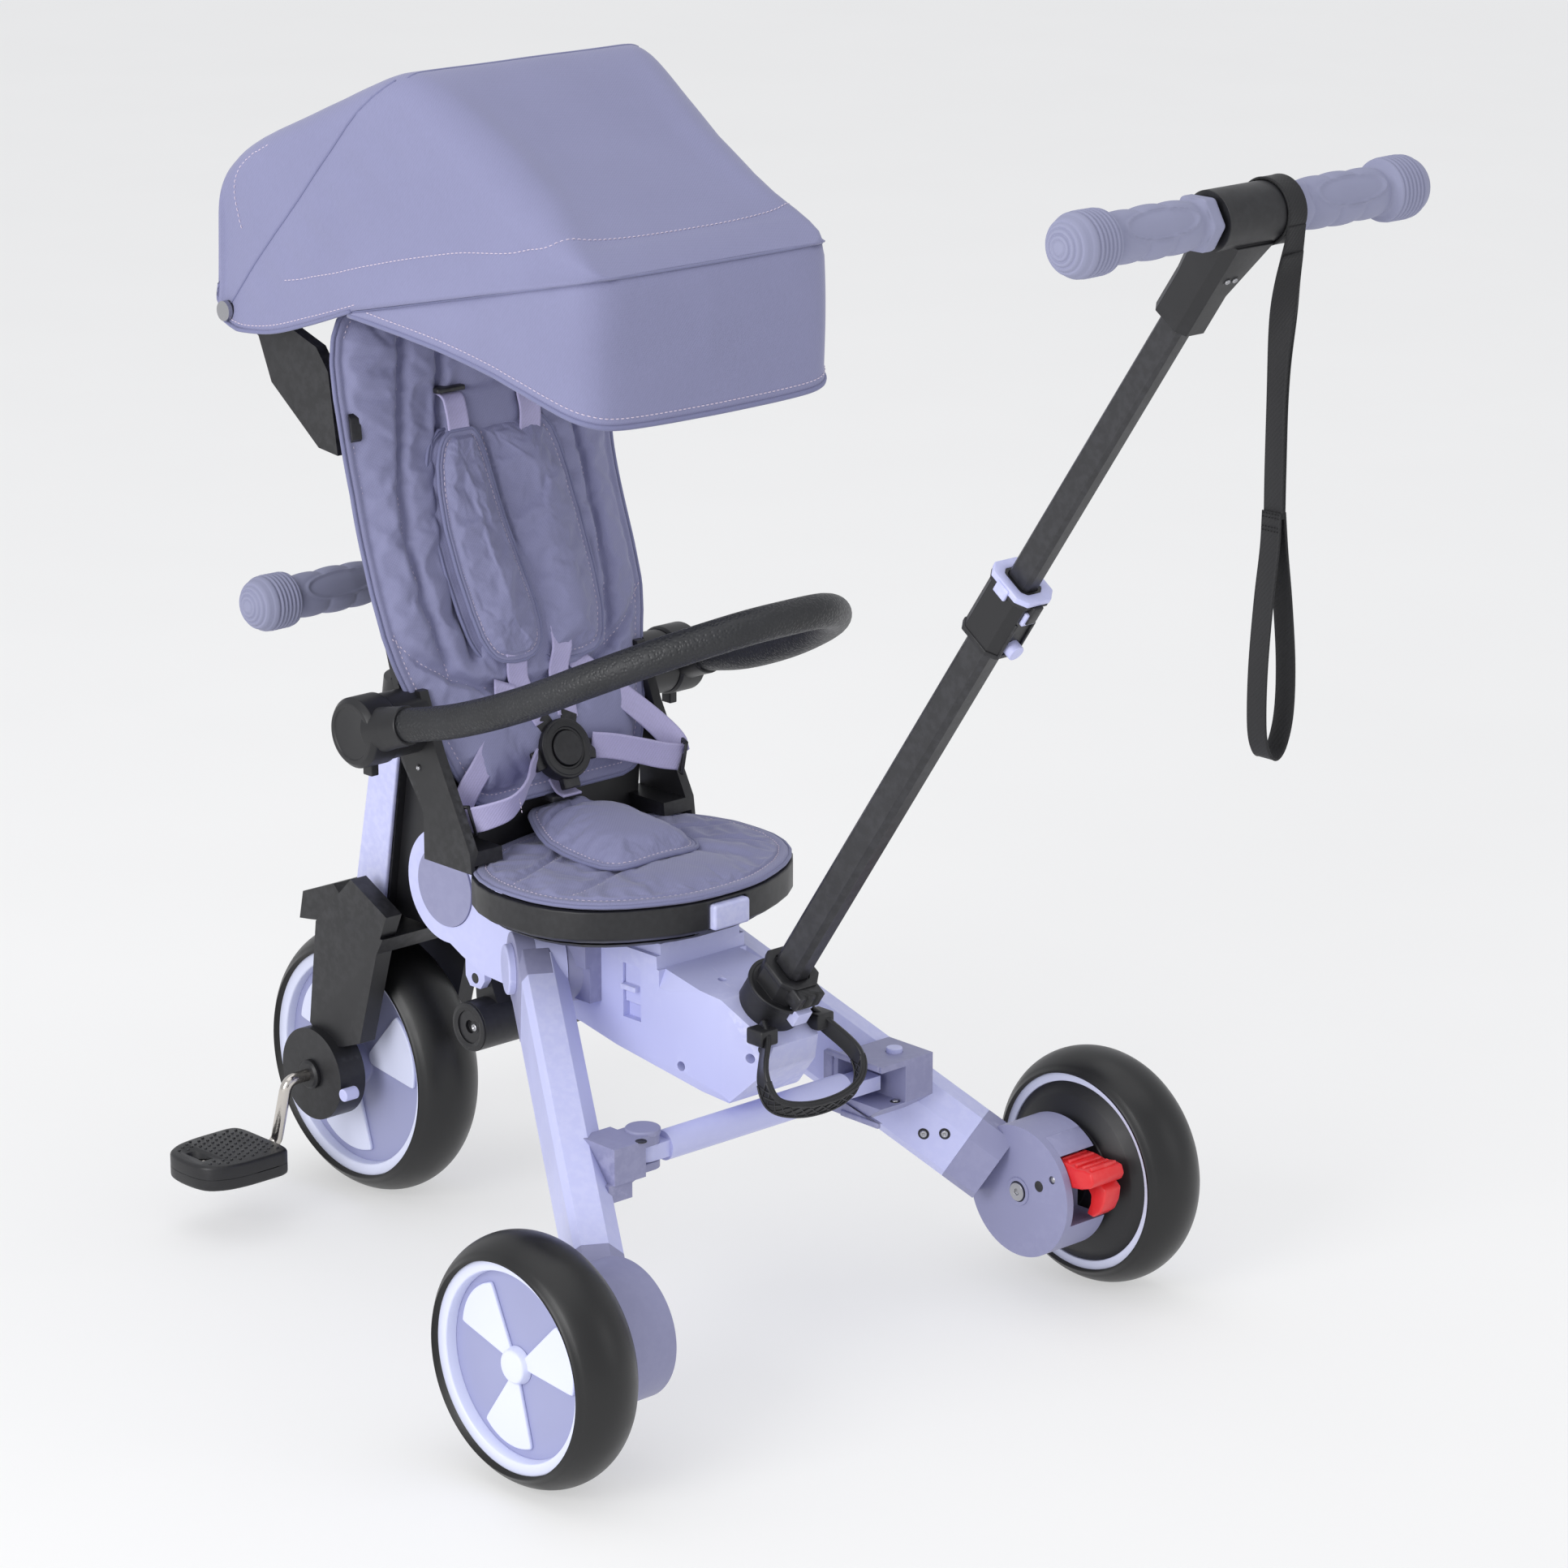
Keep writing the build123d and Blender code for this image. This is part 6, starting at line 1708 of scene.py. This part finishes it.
def detail(part, px, py, kind, r=3.0, mat="steel"):
    node = part.replace("_moulded", "")
    c_, n_ = hit(part, px, py)
    if c_ is None:
        print("detail misses", part, px, py)
        return
    objs_ = []
    if kind == "screw":
        # the black ring round the screw is painted shade of its recess
        objs_ = [well("w", c_, n_, r * 1.35, RECESS_SHADE_MAT.get(part, "black")), screw("s", c_, n_, r * 0.86, mat=mat)]
    elif kind == "hole":
        # the hole is not cut: a black disc stands in for it, painted shade of its depth
        objs_ = [well("w", c_, n_, r, "black")]
    elif kind == "bolt":
        a_ = n_.normalized()
        e_ = a_.orthogonal().normalized()
        c_ = (0, -189.9, 90)
        # the black ring inside the grey rim is painted shade in the gap round the bolt
        objs_ = [revolve("rim", round_prof([(7.9, -0.2), (7.9, 0.9), (10.4, 0.9), (10.8, -0.2)], 0.3), c_, axis=((0, 1, 0), (1, 0, 0), (0, 0, 1)), seg=56, mat="grey"),
                 revolve("dk", [(7.1, 0.12), (8.0, 0.12), (8.0, -0.3), (7.1, -0.3)], c_, axis=((0, 1, 0), (1, 0, 0), (0, 0, 1)), seg=56, mat="black")]
    DET.setdefault(node, []).extend(objs_)


# material of the painted shade in each screw recess
RECESS_SHADE_MAT = {"leg_beam_right_moulded": "black", "latch_bracket_moulded": "black"}
detail("leg_beam_right_moulded", 1138, 1397, "screw", 3.2)
detail("leg_beam_right_moulded", 1164, 1397, "screw", 3.2)
detail("latch_bracket_moulded", 1103, 1357, "screw", 2.8)
detail("wheel_housing_right_moulded", 1247, 1472, "bolt", 4.6)
detail("wheel_housing_right_moulded", 1280, 1462, "hole", 4.2)
detail("body_shell_left_moulded", 910, 1196, "hole", 3.6)
detail("body_shell_left_moulded", 940, 1294, "screw", 2.8)
detail("crossbar_bracket_moulded", 790, 1406, "hole", 4.2)
detail("pushbar_head_moulded", 1512, 347, "screw", 2.3)
detail("pushbar_head_moulded", 1521, 345, "screw", 2.3)
detail("footrest_moulded", 585, 1266, "screw", 3.4)
detail("seat_back_moulded", 516, 946, "screw", 2.2)
for node_, objs_ in DET.items():
    join(node_ + "_screws_and_holes", objs_, BODY_OF[node_])

FXZ0 = ((0, 0, 0), (1, 0, 0), (0, 0, 1), (0, 1, 0))
# ---- grey hinge cuffs over the legs' upper ends
for s in (1, -1):
    ps_, sg_ = math.radians(30.2), math.radians(32.7)
    U_ = Vector((-math.cos(ps_) * math.cos(sg_), math.sin(ps_) * math.cos(sg_), -math.sin(sg_)))
    N_ = Vector((math.sin(ps_), math.cos(ps_), 0))
    V_ = N_.cross(U_)
    if V_.z < 0:
        V_ = -V_
    H_ = Vector((240.0, 66.1, 262.7))
    sec_ = [(18, -24), (18, 22), (13.5, 27), (-6, 27), (-18, 13), (-18, -20), (-12, -27), (14, -27)]
    sec_ = [(a + (0.45 if a > 0 else 0.8), b + (0.14 if b > 0 else -0.14)) for a, b in sec_]
    vs_ = []
    for end in (0, 1):
        for a, b in sec_:
            L_ = 4.0 if end == 0 else 39.0 - 11.0 * b / 27.0
            q = H_ + U_ * L_ + N_ * a + V_ * b
            vs_.append(P(q.x, q.y * s, q.z))
    n_ = len(sec_)
    cu = fix_normals(make("c", vs_, [list(range(n_))[::-1], list(range(n_, 2 * n_))] + [[i, (i + 1) % n_, n_ + (i + 1) % n_, n_ + i] for i in range(n_)], "grey"))
    bevel(cu, 0.7, 2, 20)
    apply_mods(cu)
    Nm, Um, Vm = Vector((N_.x, N_.y * s, 0)), Vector((U_.x, U_.y * s, U_.z)), Vector((V_.x, V_.y * s, V_.z))
    kn = revolve("k", round_prof([(6.2, 4.0), (27.2, 4.0), (27.2, 18.4), (6.2, 18.4)], [0, 0.3, 0.8, 0]), (H_.x, H_.y * s, H_.z), axis=(Nm, Um, Vm), seg=72, mat="grey")
    join("leg_hinge_cuff_" + ("left" if s > 0 else "right"), [cu, kn], "left_leg" if s > 0 else "right_leg")

# the brake housing's rim carries on above the pedal
hf = prism("h", [(-19.9, 124.8), (-19.9, 135.9), (-25, 133.3), (-30, 130.0), (-33.5, 127.1), (-35.8, 124.8)], -231.9, -196.4, FXZ0, "grey", 0.5)
join("brake_housing_rim", [hf], BODY_OF["wheel_housing_right"])

# ---- latch: faceted ribs on the plate
YL = -98.0
lt = [box("r", 52, 108, -99.5, -96.4, 191.2, 195.6, "grey", 1.0), box("r", 52, 92, -99.5, -96.2, 147.6, 152.2, "grey", 1.0), box("r", 101, 110.4, -99.5, -96.6, 150, 194, "grey", 1.0),
      prism("r", [(52, 152), (58, 152), (98, 162), (98, 160)], -99.2, -96.8, ((0, 0, 0), (1, 0, 0), (0, 0, 1), (0, 1, 0)), "grey", 0.5)]
join("latch_ribs", lt, BODY_OF["latch_bracket"])
# pivot boss of the cross bar bracket: rounded top and a rib down to the leg
cb = [drum("b", (82, 104, 188.0), (0, 0, 1), 12.8, 4.2, "grey", 1.6), prism("r", [(104, 163), (146, 150), (146, 144), (108, 158)], 78, 86, ((0, 0, 0), (0, 1, 0), (0, 0, 1), (1, 0, 0)), "grey", 0.8)]
join("crossbar_bracket_boss", cb, BODY_OF["crossbar_bracket"])

# ---- brake pedal: ribbed pad, beak and curved tail
for o_ in list(bpy.data.objects):
    if o_.name in ("brake_pedal_moulded", "pedal_left_moulded", "pedal_right_moulded", "crank_moulded"):
        bpy.data.objects.remove(o_)
FXZ = ((0, 0, 0), (1, 0, 0), (0, 0, 1), (0, 1, 0))
bk_ = [prism("p", [(-66, 108), (-68.5, 113), (-66, 119.5), (-58, 120.5), (-50, 119), (-38, 120.8), (-28, 120.6), (-25, 116), (-25.5, 106), (-32, 102.6), (-44, 103), (-56, 104.5)], -230.8, -197.4, FXZ, "red", 1.8, 3),
       prism("t", [(-39, 106), (-58, 108), (-65.5, 102), (-64, 92), (-60, 83.5), (-53, 78), (-46.5, 79.5), (-50, 88), (-50.5, 95), (-46, 100)], -230.4, -213.8, FXZ, "red", 1.4, 3),
       revolve("a", [(0, -230.9), (3, -230.9), (3, -190.6), (0, -190.6)], (-34, 0, 108), seg=32, mat="steel", sign=1)]
for k in range(5):
    bk_.append(box("rb", -63.5 + 7.4 * k, -60.6 + 7.4 * k, -227, -201, 118.6 - (0.5 if k < 2 else 0), 122.2 - (0.9 if k in (1, 2) else 0), "red", 0.8, 2))
bo = join("brake_pedal_ribbed", bk_, BODY_OF["brake_pedal"])
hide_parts("brake_pedal")

# ---- crank: bent rod, thinner outside the hub
FX, FZ = 518.2, 106.4


def fillet_path(pts, r, n=7):
    out = [Vector(pts[0])]
    for a, p, b in zip(pts[:-2], pts[1:-1], pts[2:]):
        a, p, b = Vector(a), Vector(p), Vector(b)
        u, v = (a - p).normalized(), (b - p).normalized()
        t = min(r / math.tan(u.angle(v) / 2), (a - p).length * 0.48, (b - p).length * 0.48)
        for k in range(n + 1):
            w = k / n
            out.append((p + u * t) * (1 - w) ** 2 + p * 2 * w * (1 - w) + (p + v * t) * w * w)
    return out + [Vector(pts[-1])]


ck = []
PEDS = []
for s, px_, pz_ in ((1, 527.0, 53.0), (-1, 2 * FX - 527.0, 2 * FZ - 53.0)):
    pth = fillet_path([(FX, 0, FZ), (FX, s * 64, FZ), (FX, s * 86, FZ), (px_, s * 92, pz_), (px_, s * 177.6, pz_)], 10)
    ck.append(tube("k", pth, [5.95 if abs(p.y) < 63 else 4.7 for p in pth], "chrome", seg=28))
    ck.append(revolve("cap", round_prof([(0, 62.2), (11.5, 62.2), (11.5, 65.0), (9.5, 66.8), (4.8, 66.8), (0, 66.8)], [0, 0.3, 0.6, 0.6, 0, 0]), (FX, 0, FZ), seg=48, mat="black", sign=s))
    plan = [(-28, 103.2), (0, 102.2), (28, 103.2), (35.6, 112), (36, 132), (35, 150), (31, 165), (21, 176.5), (0, 179.8), (-21, 176.5), (-31, 165), (-35, 150), (-36, 132), (-35.6, 112)]
    sm2 = [(p[0], p[1]) for p in catmull(plan, 4, closed=True)]
    sm2 = [(max(-35.9, min(35.9, a)), max(102.1, min(179.9, b))) for a, b in sm2]
    fr3 = ((px_, 0, pz_), (1, 0, 0), (0, s, 0), (0, 0, 1))
    pd = prism("pd", sm2, -10.8, 9.4, fr3, "black", 2.6, 3)
    cy = revolve("cc", [(0, 95), (4.95, 95), (4.95, 178.0), (0, 178.0)], (px_, 0, pz_), seg=32, mat="black", sign=s)
    cut(pd, cy)
    ys_ = sorted((s * 160, s * 169.5))
    cut(pd, box("wd", px_ - 11, px_ + 11, ys_[0], ys_[1], pz_ + 3.0, pz_ + 20, "black", 0))
    pieces_ = [pd]
    for iy in range(11):
        for ix in range(-4, 5):
            xx, yy = ix * 6.6 + (3.3 if iy % 2 else 0), 110 + iy * 5.9
            if abs(xx) < 31 - max(0, yy - 150) * 0.55 and not (abs(xx) < 14 and yy > 155):
                pieces_.append(revolve("st", [(0, 0.95), (0.8, 0.9), (1.35, 0), (0, 0)], (px_ + xx, s * yy, pz_ + 9.35), axis=((0, 0, 1), (1, 0, 0), (0, 1, 0)), seg=10, mat="black"))
    ga = prism("g", [(a * 1.0, b) for a, b in sm2], -2.0, -0.8, fr3, "black", 0.3, 1)
    po_ = join("pedal_%s_studded" % ("left" if s > 0 else "right"), pieces_ + [ga], "left_pedal" if s > 0 else "right_pedal")
    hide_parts("pedal_left" if s > 0 else "pedal_right")
ko = join("crank_bent_rod", ck, BODY_OF["crank"])
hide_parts("crank")

# ---- footrest tube end rings
fo = [revolve("r", round_prof([(12.5, 54.6), (18.4, 54.6), (18.4, 56.6), (15.5, 57.2), (12.5, 56.2)], 0.5), (332.4, 0, 190.7), seg=64, mat="black", sign=s) for s in (1, -1)]
join("footrest_end_rings", fo, BODY_OF["footrest"])

# ---- sheets of cloth
def grid_area(G):
    return sum((Vector(G[i][j]) - Vector(G[i + 1][j + 1])).cross(Vector(G[i + 1][j]) - Vector(G[i][j + 1])).length / 2 for i in range(len(G) - 1) for j in range(len(G[0]) - 1)) * 1e-6


def grid_spans(G):
    a = max(sum((Vector(r[j + 1]) - Vector(r[j])).length for j in range(len(r) - 1)) for r in G) * 0.001
    b = max(sum((Vector(G[i + 1][j]) - Vector(G[i][j])).length for i in range(len(G) - 1)) for j in range(len(G[0]))) * 0.001
    return a, b


for ob_, G_ in ((hood, HGRID), (visor, VG)):
    A_, (w_, l_) = grid_area(G_), grid_spans(G_)
    print("SHEET", ob_.name, round(w_, 3), round(l_, 3), round(A_, 4))
